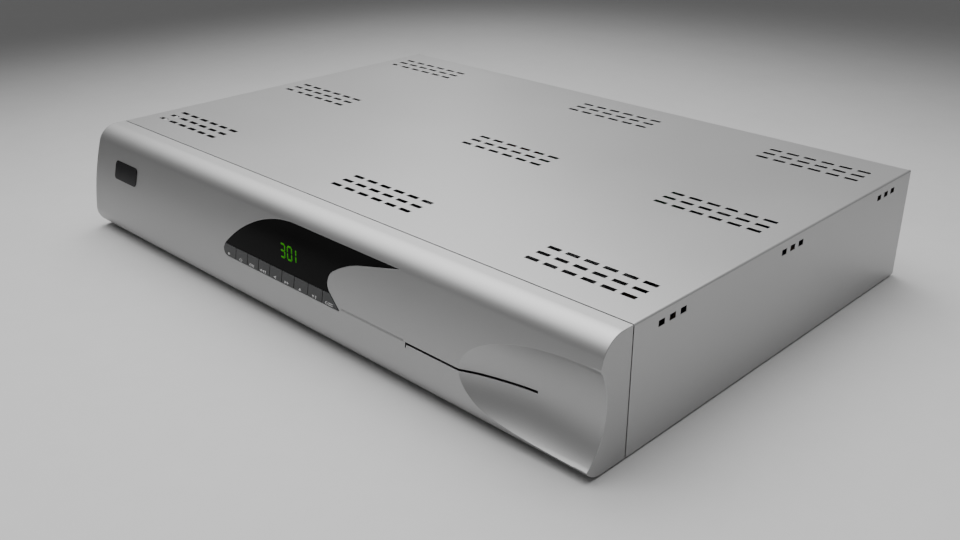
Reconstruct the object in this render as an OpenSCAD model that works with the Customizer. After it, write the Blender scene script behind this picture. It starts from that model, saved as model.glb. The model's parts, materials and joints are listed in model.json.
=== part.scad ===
// Digital video recorder: a folded sheet-metal case with a moulded front bezel, a fish-tail
// display window over a row of nine keys, a card slot running into a finger scoop, and a rear
// panel of camera, audio, monitor, network and mains connections.
// X runs to the right seen from the front, Y to the rear and Z up. The origin is under the
// middle of the whole outline, on the surface that the feet stand on.

/* [Case] */
// Overall width of the case
body_w = 430; // [426:1:440]
// Height of the case above its feet
body_h = 67.8; // [67:0.1:70]
// Depth of the folded cover, from the bezel seam to its rear edge
cover_d = 273; // [272:1:290]
// How far the bezel stands forward of the seam
bezel_d = 30.2; // [29.8:0.1:31]
// Thickness of the steel sheet
sheet = 1; // [0.8:0.1:1.2]
// Open seam between the bezel and the cover
seam_gap = 0.5; // [0.3:0.1:0.8]
// Outside radius of the folds along the cover's long edges
fold_r = 2; // [1.5:0.1:3]
// How far the rubber feet stand below the case
foot_h = 1; // [0.8:0.1:2]

/* [Bezel outline] */
// Wall thickness of the bezel moulding
wall = 2.5; // [2:0.1:2.6]
// Flat strip on top of the bezel before it rolls over
shoulder_flat = 7.3; // [6:0.1:8]
// Radius of the rolled shoulder
shoulder_r = 14; // [12:0.5:15]
// Radius of the chin under the face
chin_r = 12; // [10:0.5:13]
// Radius of the gentle crown between shoulder and chin
face_r = 200; // [180:5:260]

/* [Finger scoop] */
// Centre of the scoop across the case
scoop_x = 211; // [205:1:215]
// Centre height of the scoop
scoop_z = 32.5; // [31:0.5:34]
// Radius of the scoop seen from above
scoop_plan_r = 215; // [205:1:225]
// Radius of the scoop seen from the side
scoop_r = 33.5; // [33:0.1:34]
// Depth of steel-free space kept between the scoop's deepest point and the seam
scoop_rear = 14.7; // [14:0.1:16]

/* [Card slot] */
// Height of the card slot above the underside
slot_z = 26.2; // [25.5:0.1:27]
// Left end of the card slot
slot_x0 = 100.4; // [98:0.2:102]
// Right end of the card slot, inside the scoop
slot_x1 = 177.6; // [175:0.2:180]
// Clear height of the card slot
slot_h = 1.4; // [1.2:0.1:1.8]

/* [Display and keys] */
// Straight top edge of the display window
window_top = 59.2; // [58:0.1:59.5]
// Point of the window's tail
tail_tip_x = 86.2; // [82:0.2:90]
// Lower edge of the window, where the keys begin
keys_top = 32.2; // [31.5:0.1:33]
// Lower edge of the keys
keys_bottom = 25.1; // [24.8:0.1:25.6]
// Left end of the key row
keys_left = -59.4; // [-61:0.2:-58]
// Radius of the window's left arch
arch_r = 83; // [80:1:86]
// Gap around each key
key_gap = 0.4; // [0.3:0.05:0.5]
// How far a key stands proud of the bezel
key_proud = 0.3; // [0.2:0.05:0.5]
// Travel of a key
key_travel = 0.6; // [0.4:0.05:0.6]
// Height of one lit digit
digit_h = 8; // [7.5:0.1:8.4]

/* [Vents] */
// Length of a vent slot in the top
vent_l = 7.9; // [7:0.1:8.5]
// Width of every vent slot
vent_w = 2.6; // [2.2:0.1:3]
// Spacing of the slots across the case
vent_pitch_x = 11.6; // [11:0.1:12]
// Spacing of the slot rows
vent_pitch_y = 8.4; // [8:0.1:9]
// Length of a vent slot in the side
side_vent_l = 4.7; // [4:0.1:5]
// Height of the side vents above the underside
side_vent_z = 61; // [59:0.5:62]

/* [Rear panel] */
// How far the coaxial sockets stand behind the rear panel
socket_out = 13; // [12:0.5:14]
// Width of the square cooling fan
fan_w = 50; // [50:1:50]
// Centre of the fan across the case
fan_x = 105; // [104:1:106]
// Tilt of the mains rocker either side of level
rocker_tilt = 9; // [6:1:10]

/* [Hidden] */
$fn = 48;
eps = 0.01;
over = 1;

// The case frame has Y = 0 at the bezel seam and Z = 0 at the underside of the case
panel_out = cover_d - sheet;
panel_in = panel_out - sheet;
depth = bezel_d + panel_out + socket_out;
seam_y = bezel_d - depth / 2;
half_w = body_w / 2;
floor_top = sheet;

// Bezel outline in Y and Z: shoulder arc, crowned face arc and chin arc, each tangent to the next
function polar(c, r, a) = c + r * [cos(a), sin(a)];
function arc(c, r, a0, a1, n) = [for (i = [0:n]) polar(c, r, a0 + (a1 - a0) * i / n)];
function inner_arc(c, r, a0, a1, n) = [for (i = [1:n - 1]) polar(c, r, a0 + (a1 - a0) * i / n)];
function angle_of(v) = atan2(v[1], v[0]);
function sum(v, n) = n <= 0 ? 0 : v[n - 1] + sum(v, n - 1);

shoulder_c = [-shoulder_flat, body_h - shoulder_r];
chin_c = [chin_r - bezel_d, chin_r];
span = norm(chin_c - shoulder_c);
down = (chin_c - shoulder_c) / span;
along = (pow(face_r - shoulder_r, 2) - pow(face_r - chin_r, 2) + span * span) / (2 * span);
across = sqrt(pow(face_r - shoulder_r, 2) - along * along);
face_c = shoulder_c + along * down + across * [-down[1], down[0]];
face_a0 = angle_of(shoulder_c - face_c);
face_a1 = angle_of(chin_c - face_c);

function face_outline(inset, back) = concat(
    [[back, body_h - inset]],
    arc(shoulder_c, shoulder_r - inset, 90, face_a0, 9),
    inner_arc(face_c, face_r - inset, face_a0, face_a1, 8),
    arc(chin_c, chin_r - inset, face_a1, 270, 9),
    [[back, inset]]);
function face_y(z) = face_c[0] - sqrt(face_r * face_r - pow(z - face_c[1], 2));

// Display and key outline in X and Z
arch_c = [3, window_top - arch_r];
arch_a0 = 180 - asin((keys_top - arch_c[1]) / arch_r);
corner_r = 4.5;
tail_join = [58.2, 52.5];
tail_r = 60;
tail_slope = 14.5;
tail_c = tail_join + tail_r * [sin(tail_slope), -cos(tail_slope)];
nose_r = 7.25;
nose_a = 124;
nose_c = polar(tail_c, tail_r - nose_r, nose_a);
nose_end_a = 228;
nose_end = polar(nose_c, nose_r, nose_end_a);
toe = [48.5, keys_bottom];
toe_run = (toe[0] - nose_end[0]) / (toe[1] - nose_end[1]);
keys_right = nose_end[0] + (keys_top - nose_end[1]) * toe_run;
arch_points = arc(arch_c, arch_r, arch_a0, 90, 10);
tail_points = concat(
    [[tail_tip_x, window_top]],
    arc(tail_c, tail_r, 90 + tail_slope, nose_a, 4),
    arc(nose_c, nose_r, nose_a + 14, nose_end_a, 8));
window_outline = concat(arch_points, tail_points, [[keys_right, keys_top]]);
keys_outline = concat(
    arc([keys_left + corner_r, keys_bottom + corner_r], corner_r, 270, 180, 6),
    [arch_points[0], [keys_right, keys_top], toe]);
panel_outline = concat(
    arc([keys_left + corner_r, keys_bottom + corner_r], corner_r, 270, 180, 6),
    arch_points, tail_points, [toe]);
key_widths = [12.8, 11.6, 10.8, 10.8, 11.3, 11.3, 12.3, 12.5, 14];
key_mid_z = (keys_top + keys_bottom) / 2;
function key_x(i) = keys_left + sum(key_widths, i);
function key_mid(i) = (key_x(i) + min(key_x(i + 1), keys_right + 2)) / 2;

// Depths behind the face
flange_front = -24.4;
flange_t = 1;
front_board_y = -12.6;
board_t = 1.6;
tact_h = 3.5;
plunger_h = 1;
stem_end = front_board_y - tact_h - plunger_h - key_travel - 0.2;
led_front = -21;
digit_t = 0.3;
lens_t = 2.2;
digit_x = [-11.5, -5.2, 2.2];
digit_z = 35.8;
digit_w = 5;
bar = 0.75;

// Badge plate, by X and Z
badge_at = [-176, 45];
badge_size = [27, 12];
badge_r = 2.5;
badge_proud = 0.4;

// Vent groups
vent_x = [-170.4, 18, 167.7];
vent_y = [28.9, 134.8, 241.6];
vent_cols = 6;
vent_rows = 3;

// Rear connections, by X and Z
bnc_cols = [-195, -175, -155, -135, -112];
bnc_rows = [21, 45];
rca_cols = [-91, -77];
rca_rows = [19, 33];
rca_r = 4.15;
rca_out = 9;
vga_x = 55;
hdmi_x = 22;
lan_x = 0;
usb_x = -21;
alarm_x = -48;
alarm_pitch = 3.81;
alarm_ways = 8;
inlet_x = 186;
inlet_z = 24;
rocker_x = 150;
rocker_z = 24;
rocker_pivot = panel_out - 1;
fan_z = 34;
fan_t = 15;
fan_hole = 20;
fan_bore_r = 22.8;
guard_rings = [6, 11, 16, 21];
wire_r = 0.8;
spoke_r = 0.6;
ground_at = [200, 48];

// Boards and drive
standoff_h = 6;
board_z = floor_top + standoff_h;
board_top = board_z + board_t;
main_x = [-208, 78];
main_y = [170, 266];
supply_x = [120, 208];
supply_y = [92, 248];
drive_x = [-185, -83.4];
drive_y = [14, 161];
drive_z = 13;
drive_h = 26.1;
bracket_t = 1.2;
reader_x = [94, 184];
reader_y = [-11.4, 74];
reader_z = [20.4, 34];
screw_r = 1.45;
reader_post_x = [100, 178];
reader_post_y = [12, 62];
board_post_at = [[-61, 14], [57, 14], [-61, 50], [57, 44]];
boss_at = [[-200, 14], [-200, 54], [-75, 54], [78, 14], [92, 56], [202, 57]];
foot_at = [[-185, 22], [185, 22], [-185, 250], [185, 250]];
cover_screw_x = [-198, 0, 198];
cover_screw_z = 62.6;
panel_screw_at = [[-207, 9], [-68, 9], [207, 9]];
main_posts = [for (x = [-202, -66, 74]) for (y = [176, 244]) [x, y]];
supply_posts = [for (x = [125, 203]) for (y = [97, 243]) [x, y]];

// Placing and shaping helpers
module in_case() translate([0, seam_y, foot_h]) children();
module box(lo, hi) translate(lo) cube(hi - lo);
// Lays a flat X and Z outline on its edge and gives it a depth from y0 to y1
module upright(y0, y1) translate([0, y1, 0]) rotate([90, 0, 0]) linear_extrude(y1 - y0) children();
// A cylinder along Y from y0 to y1
module rod_y(x, z, r, y0, y1) translate([x, y1, z]) rotate([90, 0, 0]) cylinder(r = r, h = y1 - y0);
module face_solid(inset, back, x0, x1)
    translate([x0, 0, 0]) rotate([90, 0, 90]) linear_extrude(x1 - x0) polygon(face_outline(inset, back));
module scoop(grow)
    translate([scoop_x, -scoop_rear - scoop_plan_r, scoop_z])
        rotate_extrude($fn = 96) translate([scoop_plan_r - scoop_r, 0]) circle(scoop_r + grow);

// Folded steel cover: top, two sides and a short lip turned down behind
module top_cover() color("#b9babb") in_case() difference() {
    union() {
        translate([0, cover_d, 0]) rotate([90, 0, 0]) linear_extrude(cover_d) difference() {
            union() {
                translate([-half_w, 0]) square([body_w, body_h - fold_r]);
                translate([fold_r - half_w, 0]) square([body_w - 2 * fold_r, body_h]);
                for (side = [-1, 1])
                    translate([side * (half_w - fold_r), body_h - fold_r]) circle(fold_r);
            }
            translate([sheet - half_w, -over]) square([body_w - 2 * sheet, body_h + over - sheet]);
        }
        box([sheet - half_w, cover_d - sheet, body_h - 9.5],
            [half_w - sheet, cover_d, body_h - sheet / 2]);
    }
    for (gx = vent_x) for (gy = vent_y) for (i = [0:vent_cols - 1]) for (j = [0:vent_rows - 1])
        translate([gx + (i - (vent_cols - 1) / 2) * vent_pitch_x,
                gy + (j - (vent_rows - 1) / 2) * vent_pitch_y, body_h])
            cube([vent_l, vent_w, 4 * sheet], center = true);
    for (gy = vent_y) for (j = [0:vent_rows - 1])
        translate([0, gy + (j - (vent_rows - 1) / 2) * vent_pitch_y, side_vent_z])
            cube([body_w + 2 * over, side_vent_l, vent_w], center = true);
    for (x = cover_screw_x) rod_y(x, cover_screw_z, screw_r + 0.2, cover_d - 2 * sheet, cover_d + over);
}

// Folded steel tray: floor, front wall and low sides
module base_pan() color("#9b9d9f") in_case() difference() {
    union() {
        box([0.2 + sheet - half_w, 0.5, 0], [half_w - sheet - 0.2, panel_in, floor_top]);
        box([0.2 + sheet - half_w, 0.5, 0], [half_w - sheet - 0.2, 0.5 + sheet, 62]);
        for (side = [0, 1]) mirror([side, 0, 0])
            box([half_w - 2 * sheet - 0.2, 0.5, 0], [half_w - sheet - 0.2, panel_in, 15]);
        for (x = reader_post_x) for (y = reader_post_y)
            box([x - 2, y - 2, 0], [x + 2, y + 2, reader_z[0]]);
        for (p = panel_screw_at) box([p[0] - 3.4, panel_in - sheet, 0], [p[0] + 3.4, panel_in, 12.4]);
    }
    box([reader_x[0] - 1, -over, reader_z[0] - 1], [reader_x[1] + 1, 3, reader_z[1] + 1]);
    box([-62, -over, 18], [-28, 3, 32]);
    for (p = boss_at) rod_y(p[0], p[1], screw_r + 0.15, -over, 3);
    for (p = panel_screw_at) rod_y(p[0], p[1], screw_r + 0.1, panel_in - 3, cover_d);
    for (p = foot_at) translate([p[0], p[1], -over]) cylinder(r = 2.6, h = 3);
    for (gx = [-134, 60]) for (i = [0:7]) translate([gx - 25, 60 + 10 * i, -over]) cube([50, 3, 3]);
}

// Flat steel rear panel with a cut-out for each connector
module rear_panel() color("#a3a5a7") in_case() difference() {
    box([1.2 - half_w, panel_in, 0.2], [half_w - 1.2, panel_out, body_h - 1.3]);
    for (x = bnc_cols) for (z = bnc_rows) rod_y(x, z, 4.9, panel_in - over, panel_out + over);
    for (x = rca_cols) for (z = rca_rows) rod_y(x, z, 5.1, panel_in - over, panel_out + over);
    box([vga_x - 16.3, 0, 16.4], [vga_x + 16.3, cover_d, 28.6]);
    box([hdmi_x - 7.6, 0, board_top], [hdmi_x + 7.6, cover_d, board_top + 6.1]);
    box([lan_x - 8.1, 0, board_top], [lan_x + 8.1, cover_d, board_top + 13.6]);
    box([usb_x - 7.2, 0, board_top], [usb_x + 7.2, cover_d, board_top + 16.1]);
    box([alarm_x - 15.9, 0, board_top], [alarm_x + 15.9, cover_d, board_top + 9.6]);
    box([inlet_x - 13.6, 0, inlet_z - 9.6], [inlet_x + 13.6, cover_d, inlet_z + 9.6]);
    box([rocker_x - 6.6, 0, rocker_z - 9.6], [rocker_x + 6.6, cover_d, rocker_z + 9.6]);
    rod_y(fan_x, fan_z, fan_bore_r, panel_in - over, panel_out + over);
    for (sx = [-1, 1]) for (sz = [-1, 1])
        rod_y(fan_x + sx * fan_hole, fan_z + sz * fan_hole, 1.8, panel_in - over, panel_out + over);
    for (sx = [-1, 1])
        rod_y(inlet_x + 20 * sx, inlet_z, screw_r + 0.1, panel_in - over, panel_out + over);
    for (p = panel_screw_at) rod_y(p[0], p[1], screw_r + 0.1, panel_in - over, panel_out + over);
    for (x = cover_screw_x) rod_y(x, cover_screw_z, screw_r + 0.1, panel_in - over, panel_out + over);
    rod_y(ground_at[0], ground_at[1], screw_r + 0.1, panel_in - over, panel_out + over);
    for (i = [0:8]) translate([-60 + 13 * i, 0, 52]) cube([8, cover_d, 2.4]);
}

// Moulded bezel: rolled shell with the scoop, the card slot and the display opening
module front_bezel() color("#a9abad") in_case() difference() {
    union() {
        difference() {
            face_solid(0, -seam_gap, -half_w, half_w);
            difference() {
                face_solid(wall, over, wall - half_w, half_w - wall);
                scoop(wall);
            }
        }
        intersection() {
            face_solid(wall / 2, 0.3, -half_w + 1, half_w - 1);
            union() {
                for (p = boss_at) rod_y(p[0], p[1], 3.6, -bezel_d, 0.3);
                for (p = board_post_at) rod_y(p[0], p[1], 2.4, -bezel_d, front_board_y);
            }
        }
    }
    scoop(0);
    upright(-bezel_d - over, -15) polygon(panel_outline);
    box([slot_x0, -bezel_d - over, slot_z - slot_h / 2], [slot_x1, -10, slot_z + slot_h / 2]);
    box([slot_x0 - 0.7, -bezel_d - over, slot_z - 2.8],
        [slot_x0, face_y(slot_z) + 0.8, slot_z + slot_h / 2]);
    box([toe[0] - 0.5, -bezel_d - over, slot_z - 0.2], [slot_x0, face_y(slot_z) + 0.5, slot_z + 0.3]);
    for (p = boss_at) rod_y(p[0], p[1], screw_r, -9, over);
}

// Smoked window that follows the bezel's face
module display_window() color("#101113") in_case() intersection() {
    difference() {
        face_solid(0, -5, -70, 90);
        face_solid(lens_t, -4, -71, 91);
    }
    upright(-bezel_d - over, -15) offset(delta = -0.1) polygon(window_outline);
}

// Blank badge plate let into the face on the left
module badge_plate() color("#17181a") in_case() intersection() {
    difference() {
        face_solid(-badge_proud, -5, -195, -158);
        face_solid(0, -4, -196, -157);
    }
    upright(-bezel_d - over, -10) translate(badge_at) {
        square([badge_size[0], badge_size[1] - 2 * badge_r], center = true);
        square([badge_size[0] - 2 * badge_r, badge_size[1]], center = true);
        for (sx = [-1, 1]) for (sz = [-1, 1])
            translate([sx * (badge_size[0] / 2 - badge_r), sz * (badge_size[1] / 2 - badge_r)])
                circle(badge_r);
    }
}

// One key: a cap that follows the face, a retaining flange and a stem
module key(i) color("#3f4144") in_case() {
    x0 = key_x(i) + key_gap / 2;
    x1 = key_x(i + 1) - key_gap / 2;
    intersection() {
        face_solid(-key_proud, flange_front + eps, x0, min(x1, toe[0]));
        upright(-bezel_d - over, flange_front + eps) offset(delta = -key_gap / 2) polygon(keys_outline);
    }
    flange_x1 = min(x1, keys_right);
    box([max(x0, keys_left + 2), flange_front, keys_bottom + 0.8],
        [flange_x1, flange_front + flange_t, keys_top + 1.4]);
    mid = key_mid(i);
    box([mid - 1.5, flange_front, key_mid_z - 1.5], [mid + 1.5, stem_end, key_mid_z + 1.5]);
}

module button_1() key(0);
module button_2() key(1);
module button_3() key(2);
module button_4() key(3);
module button_5() key(4);
module button_6() key(5);
module button_7() key(6);
module button_8() key(7);
module button_9() key(8);

// Upright board behind the window that carries the switches and the display
module front_board() color("#2c5e3a") in_case()
    box([-66, front_board_y, 9], [62, front_board_y + board_t, 58]);

// One tact switch behind each key
module tact_switches() color("#2a2a2c") in_case() for (i = [0:8]) {
    x = key_mid(i);
    box([x - 3, front_board_y - tact_h, key_mid_z - 3], [x + 3, front_board_y, key_mid_z + 3]);
    rod_y(x, key_mid_z, 1.6, front_board_y - tact_h - plunger_h, front_board_y - tact_h);
}

// Three-digit display module
module led_display() color("#1c1d1f") in_case()
    box([-15, led_front, digit_z - 2], [11, front_board_y, digit_z + digit_h + 2]);

// Lit bars of one digit: a top, b and c right, d bottom, e and f left, g middle
module segment(name) {
    half = digit_h / 2;
    if (name == "a") translate([bar, digit_h - bar]) square([digit_w - 2 * bar, bar]);
    if (name == "b") translate([digit_w - bar, half + 0.2]) square([bar, half - 0.2]);
    if (name == "c") translate([digit_w - bar, 0]) square([bar, half - 0.2]);
    if (name == "d") translate([bar, 0]) square([digit_w - 2 * bar, bar]);
    if (name == "e") square([bar, half - 0.2]);
    if (name == "f") translate([0, half + 0.2]) square([bar, half - 0.2]);
    if (name == "g") translate([bar, half - bar / 2]) square([digit_w - 2 * bar, bar]);
}
module digit_segments() color("#49c81e") in_case() {
    lit = ["abgcd", "abcdef", "ef"];
    for (i = [0:2]) for (name = lit[i])
        upright(led_front - digit_t, led_front) translate([digit_x[i], digit_z]) segment(name);
}

// Remote-control receiver with a domed lens
module infrared_receiver() color("#2b1f24") in_case() {
    box([-44, -16.6, 40], [-37, front_board_y, 48]);
    rod_y(-40.5, 44.6, 2.4, -18.6, -16.6);
}

// Card reader: a flat box with a throat in line with the card slot
module card_reader() color("#33363a") in_case() difference() {
    box([reader_x[0], reader_y[0], reader_z[0]], [reader_x[1], reader_y[1], reader_z[1]]);
    box([slot_x0 - 0.5, reader_y[0] - over, slot_z - slot_h / 2 - 0.2],
        [slot_x1 + 0.5, reader_y[1] - 4, slot_z + slot_h / 2 + 0.2]);
}

// Main circuit board and what stands on it
module main_board() color("#1f5a34") in_case() difference() {
    box([main_x[0], main_y[0], board_z], [main_x[1], main_y[1], board_top]);
    for (p = main_posts) translate([p[0], p[1], 0]) cylinder(r = screw_r + 0.1, h = 20);
}
module board_chips() color("#1a1a1c") in_case() {
    box([-112, 200, board_top], [-88, 224, board_top + 2.2]);
    for (i = [0:3]) box([-190 + 18 * i, 222, board_top], [-178 + 18 * i, 234, board_top + 1.4]);
    for (i = [0:3]) box([-72, 182 + 12 * i, board_top], [-58, 191 + 12 * i, board_top + 1.2]);
    box([-40, 200, board_top], [-24, 216, board_top + 1.6]);
    box([10, 215, board_top], [22, 227, board_top + 1.6]);
}
module heat_sink() color("#8d9194") in_case() {
    base = board_top + 2.2;
    box([-120, 192, base], [-80, 232, base + 3]);
    for (i = [0:7]) box([-120 + 5.4 * i, 192, base + 3 - eps], [-117.8 + 5.4 * i, 232, base + 17]);
}
module board_capacitors() color("#3a4252") in_case() for (i = [0:5])
    translate([-10 + 12 * (i % 3), 182 + 12 * floor(i / 3), board_top]) cylinder(r = 4, h = 11.5);
module cell_holder() color("#202226") in_case() difference() {
    translate([44, 196, board_top]) cylinder(r = 12, h = 4.6);
    translate([44, 196, board_top + 1.2]) cylinder(r = 10.1, h = 5);
}
module coin_cell() color("#c9cbcd") in_case()
    translate([44, 196, board_top + 1.2]) cylinder(r = 10, h = 3.2);

// Hard drive on a folded bracket
module hard_drive() color("#5d6064") in_case() {
    box([drive_x[0], drive_y[0], drive_z], [drive_x[1], drive_y[1], drive_z + drive_h - 1.6]);
    box([drive_x[0] + 3, drive_y[0] + 3, drive_z + drive_h - 1.6 - eps],
        [drive_x[1] - 3, drive_y[1] - 18, drive_z + drive_h]);
}
drive_holes = [for (x = [drive_x[0] + 4, drive_x[1] - 4]) for (y = [50, 120]) [x, y]];
module drive_bracket() color("#a9abad") in_case() difference() {
    union() {
        box([-192, 24, drive_z - bracket_t], [-76, 150, drive_z]);
        for (x = [-192, -76 - bracket_t])
            box([x, 24, floor_top], [x + bracket_t, 150, drive_z - bracket_t + eps]);
    }
    for (p = drive_holes) translate([p[0], p[1], 0]) cylinder(r = 1.9, h = 20);
}
module drive_screws() color("#c3c5c7") in_case() for (p = drive_holes) {
    translate([p[0], p[1], drive_z - bracket_t - 1.8]) cylinder(r = 3, h = 1.8);
    translate([p[0], p[1], drive_z - bracket_t - eps]) cylinder(r = 1.75, h = bracket_t + eps);
}
module drive_cable() color("#b23a2c") in_case() {
    box([-150, drive_y[1], 18], [-138, 166, 21]);
    box([-150, 164, board_top + 4], [-138, 166, 21]);
    box([-150, 164, board_top + 4], [-138, 182, board_top + 6]);
    box([-150, 178, board_top], [-138, 186, board_top + 9]);
}
module ribbon_cable() color("#8f9296") in_case() {
    box([-58, front_board_y + board_t, 22], [-32, 6, 23]);
    box([-58, 5, 2], [-32, 6, 23]);
    box([-58, 5, 2], [-32, 164, 3]);
    box([-58, 163, 2], [-32, 164, board_top + 4]);
    box([-58, 163, board_top + 3], [-32, 176, board_top + 4]);
    box([-59, 172, board_top], [-31, 178, board_top + 7]);
}

// Cooling fan behind the rear panel
module fan_frame() color("#242527") in_case() {
    y0 = panel_in - fan_t;
    difference() {
        box([fan_x - fan_w / 2, y0, fan_z - fan_w / 2],
            [fan_x + fan_w / 2, panel_in, fan_z + fan_w / 2]);
        rod_y(fan_x, fan_z, fan_bore_r, y0 - over, panel_in + over);
        for (sx = [-1, 1]) for (sz = [-1, 1])
            rod_y(fan_x + sx * fan_hole, fan_z + sz * fan_hole, 1.6, y0 - over, panel_in + over);
    }
    rod_y(fan_x, fan_z, 10.5, y0, y0 + 2);
    for (a = [45:90:315]) translate([fan_x, y0, fan_z]) rotate([0, a, 0])
        translate([9.5, 0, -1]) cube([14, 2, 2]);
    rod_y(fan_x, fan_z, 1, y0 + 2 - eps, y0 + 12);
}
module fan_rotor() color("#303134") in_case() {
    y0 = panel_in - fan_t + 2.6;
    difference() {
        union() {
            rod_y(fan_x, fan_z, 10, y0, y0 + 11);
            intersection() {
                for (k = [0:6]) translate([fan_x, y0 + 5.5, fan_z]) rotate([0, k * 360 / 7, 0])
                    translate([9, 0, 0]) rotate([38, 0, 0])
                        translate([0, -6.5, -0.7]) cube([14, 13, 1.4]);
                rod_y(fan_x, fan_z, 21.8, y0, y0 + 11);
            }
        }
        rod_y(fan_x, fan_z, 1.05, y0 - over, y0 + 10);
    }
}
module fan_guard() color("#b4b6b8") in_case()
    translate([fan_x, panel_out + wire_r, fan_z]) rotate([90, 0, 0]) {
    for (r = guard_rings) rotate_extrude() translate([r, 0]) circle(wire_r);
    for (a = [45:90:315]) rotate([0, 0, a])
        translate([guard_rings[0] - 0.4, 0, -wire_r]) rotate([0, 90, 0]) cylinder(r = spoke_r, h = 19.4);
    for (sx = [-1, 1]) for (sy = [-1, 1]) translate([sx * fan_hole, sy * fan_hole, -wire_r])
        rotate_extrude() translate([3, 0]) circle(wire_r);
}
module fan_screws() color("#7e8184") in_case() for (sx = [-1, 1]) for (sz = [-1, 1]) {
    x = fan_x + sx * fan_hole;
    z = fan_z + sz * fan_hole;
    rod_y(x, z, 1.5, panel_in - 12, panel_out + 3 * wire_r + 0.2);
    rod_y(x, z, 3.6, panel_out + 3 * wire_r + 0.2 - eps, panel_out + 3 * wire_r + 2);
}

// Coaxial camera inputs and monitor outputs with bayonet lugs
module bnc_socket(x, z) {
    box([x - 7, 254, z - 7], [x + 7, panel_in, z + 7]);
    difference() {
        rod_y(x, z, 4.8, panel_in - eps, panel_out + socket_out);
        rod_y(x, z, 3.6, panel_out + 3, panel_out + socket_out + over);
    }
    rod_y(x, z, 1.1, panel_out + 2.9, panel_out + socket_out - 2);
    difference() {
        translate([x, panel_out + 2.2, z]) rotate([90, 0, 0]) cylinder(r = 7.4, h = 2.2, $fn = 6);
        rod_y(x, z, 4.7, panel_out - over, panel_out + 4);
    }
    translate([x - 5.8, panel_out + socket_out - 3, z]) rotate([0, 90, 0]) cylinder(r = 1, h = 1.4);
    translate([x + 4.4, panel_out + socket_out - 3, z]) rotate([0, 90, 0]) cylinder(r = 1, h = 1.4);
}
module bnc_sockets() color("#c6c8ca") in_case()
    for (x = bnc_cols) for (z = bnc_rows) bnc_socket(x, z);

// Audio jacks: coloured insulator and metal shell
module rca_insulators() color("#b52a25") in_case() for (x = rca_cols) for (z = rca_rows) difference() {
    union() {
        box([x - 6, 256, z - 6], [x + 6, panel_in, z + 6]);
        rod_y(x, z, 5, panel_in - eps, panel_out + 1.2);
    }
    rod_y(x, z, 2, 262, panel_out + 3);
}
module rca_shells() color("#d0d2d3") in_case() for (x = rca_cols) for (z = rca_rows) difference() {
    rod_y(x, z, rca_r, panel_out + 1.2, panel_out + rca_out);
    rod_y(x, z, 3.3, panel_out + 0.5, panel_out + rca_out + over);
}

// Monitor port: flanged shell with a raised D and fifteen contact holes
module d_outline(w, h, lean, r) hull() for (sx = [-1, 1]) {
    translate([sx * (w / 2 - r), h / 2 - r]) circle(r, $fn = 16);
    translate([sx * (w / 2 - r - lean), r - h / 2]) circle(r, $fn = 16);
}
module vga_port() color("#c9cbcd") in_case() difference() {
    union() {
        box([vga_x - 15.4, 250, board_top], [vga_x + 15.4, panel_in, 28.4]);
        box([vga_x - 15.4, panel_in - eps, 16.8], [vga_x + 15.4, panel_out, 28.2]);
        translate([vga_x, panel_out + 6, 22.5]) rotate([90, 0, 0])
            linear_extrude(6.2) d_outline(18.6, 9.6, 1.4, 2);
    }
    for (row = [0:2]) for (i = [0:4])
        rod_y(vga_x + (i - 2) * 2.3 + (row - 1) * 0.7, 22.5 + (row - 1) * 2.2, 0.6,
            panel_out + 2, panel_out + 7);
}
module vga_posts() color("#a8aaac") in_case() for (side = [-1, 1]) difference() {
    translate([vga_x + side * 12.5, panel_out + 5.4, 22.5]) rotate([90, 0, 0])
        cylinder(r = 2.7, h = 5.4, $fn = 6);
    rod_y(vga_x + side * 12.5, 22.5, 1.4, panel_out + 1, panel_out + 6);
}

// Board-mounted shells that show through the rear panel
module shell_port(x, w, h, front, throat_w, throat_h, throat_z, tongue_h) {
    difference() {
        box([x - w / 2, 252, board_top], [x + w / 2, front, board_top + h]);
        box([x - throat_w / 2, front - 11, board_top + throat_z],
            [x + throat_w / 2, front + over, board_top + throat_z + throat_h]);
    }
    if (tongue_h > 0) {
        z = board_top + throat_z + (throat_h - tongue_h) / 2;
        box([x - throat_w / 2 + 1, front - 11 - eps, z],
            [x + throat_w / 2 - 1, front - 1, z + tongue_h]);
    }
}
module hdmi_port() color("#bcbec0") in_case()
    shell_port(hdmi_x, 15, 6, panel_out + 0.8, 14, 4.6, 0.7, 1.4);
module lan_port() color("#c2c4c6") in_case()
    shell_port(lan_x, 16, 13.4, panel_out + 1, 12, 8, 2.4, 0);
module usb_ports() color("#c2c4c6") in_case() difference() {
    box([usb_x - 7, 252, board_top], [usb_x + 7, panel_out + 1, board_top + 15.8]);
    for (level = [1.2, 9.2]) {
        box([usb_x - 6.2, panel_out - 10, board_top + level],
            [usb_x + 6.2, panel_out + 2, board_top + level + 1.5]);
        box([usb_x - 6.2, panel_out - 10, board_top + level + 3.5],
            [usb_x + 6.2, panel_out + 2, board_top + level + 5.4]);
        box([usb_x - 6.2, panel_out - 0.6, board_top + level],
            [usb_x + 6.2, panel_out + 2, board_top + level + 5.4]);
    }
}

// Screw terminal strip for sensors and alarms
module alarm_terminal() color("#2f7d45") in_case() difference() {
    box([alarm_x - 15.6, 254, board_top], [alarm_x + 15.6, panel_out + 3, board_top + 9.2]);
    for (i = [0:alarm_ways - 1]) {
        x = alarm_x + (i - (alarm_ways - 1) / 2) * alarm_pitch;
        box([x - 1.3, panel_out - 5, board_top + 1.6], [x + 1.3, panel_out + 4, board_top + 4.6]);
        rod_y(x, board_top + 7, 1.2, panel_out + 1, panel_out + 4);
    }
}

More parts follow.
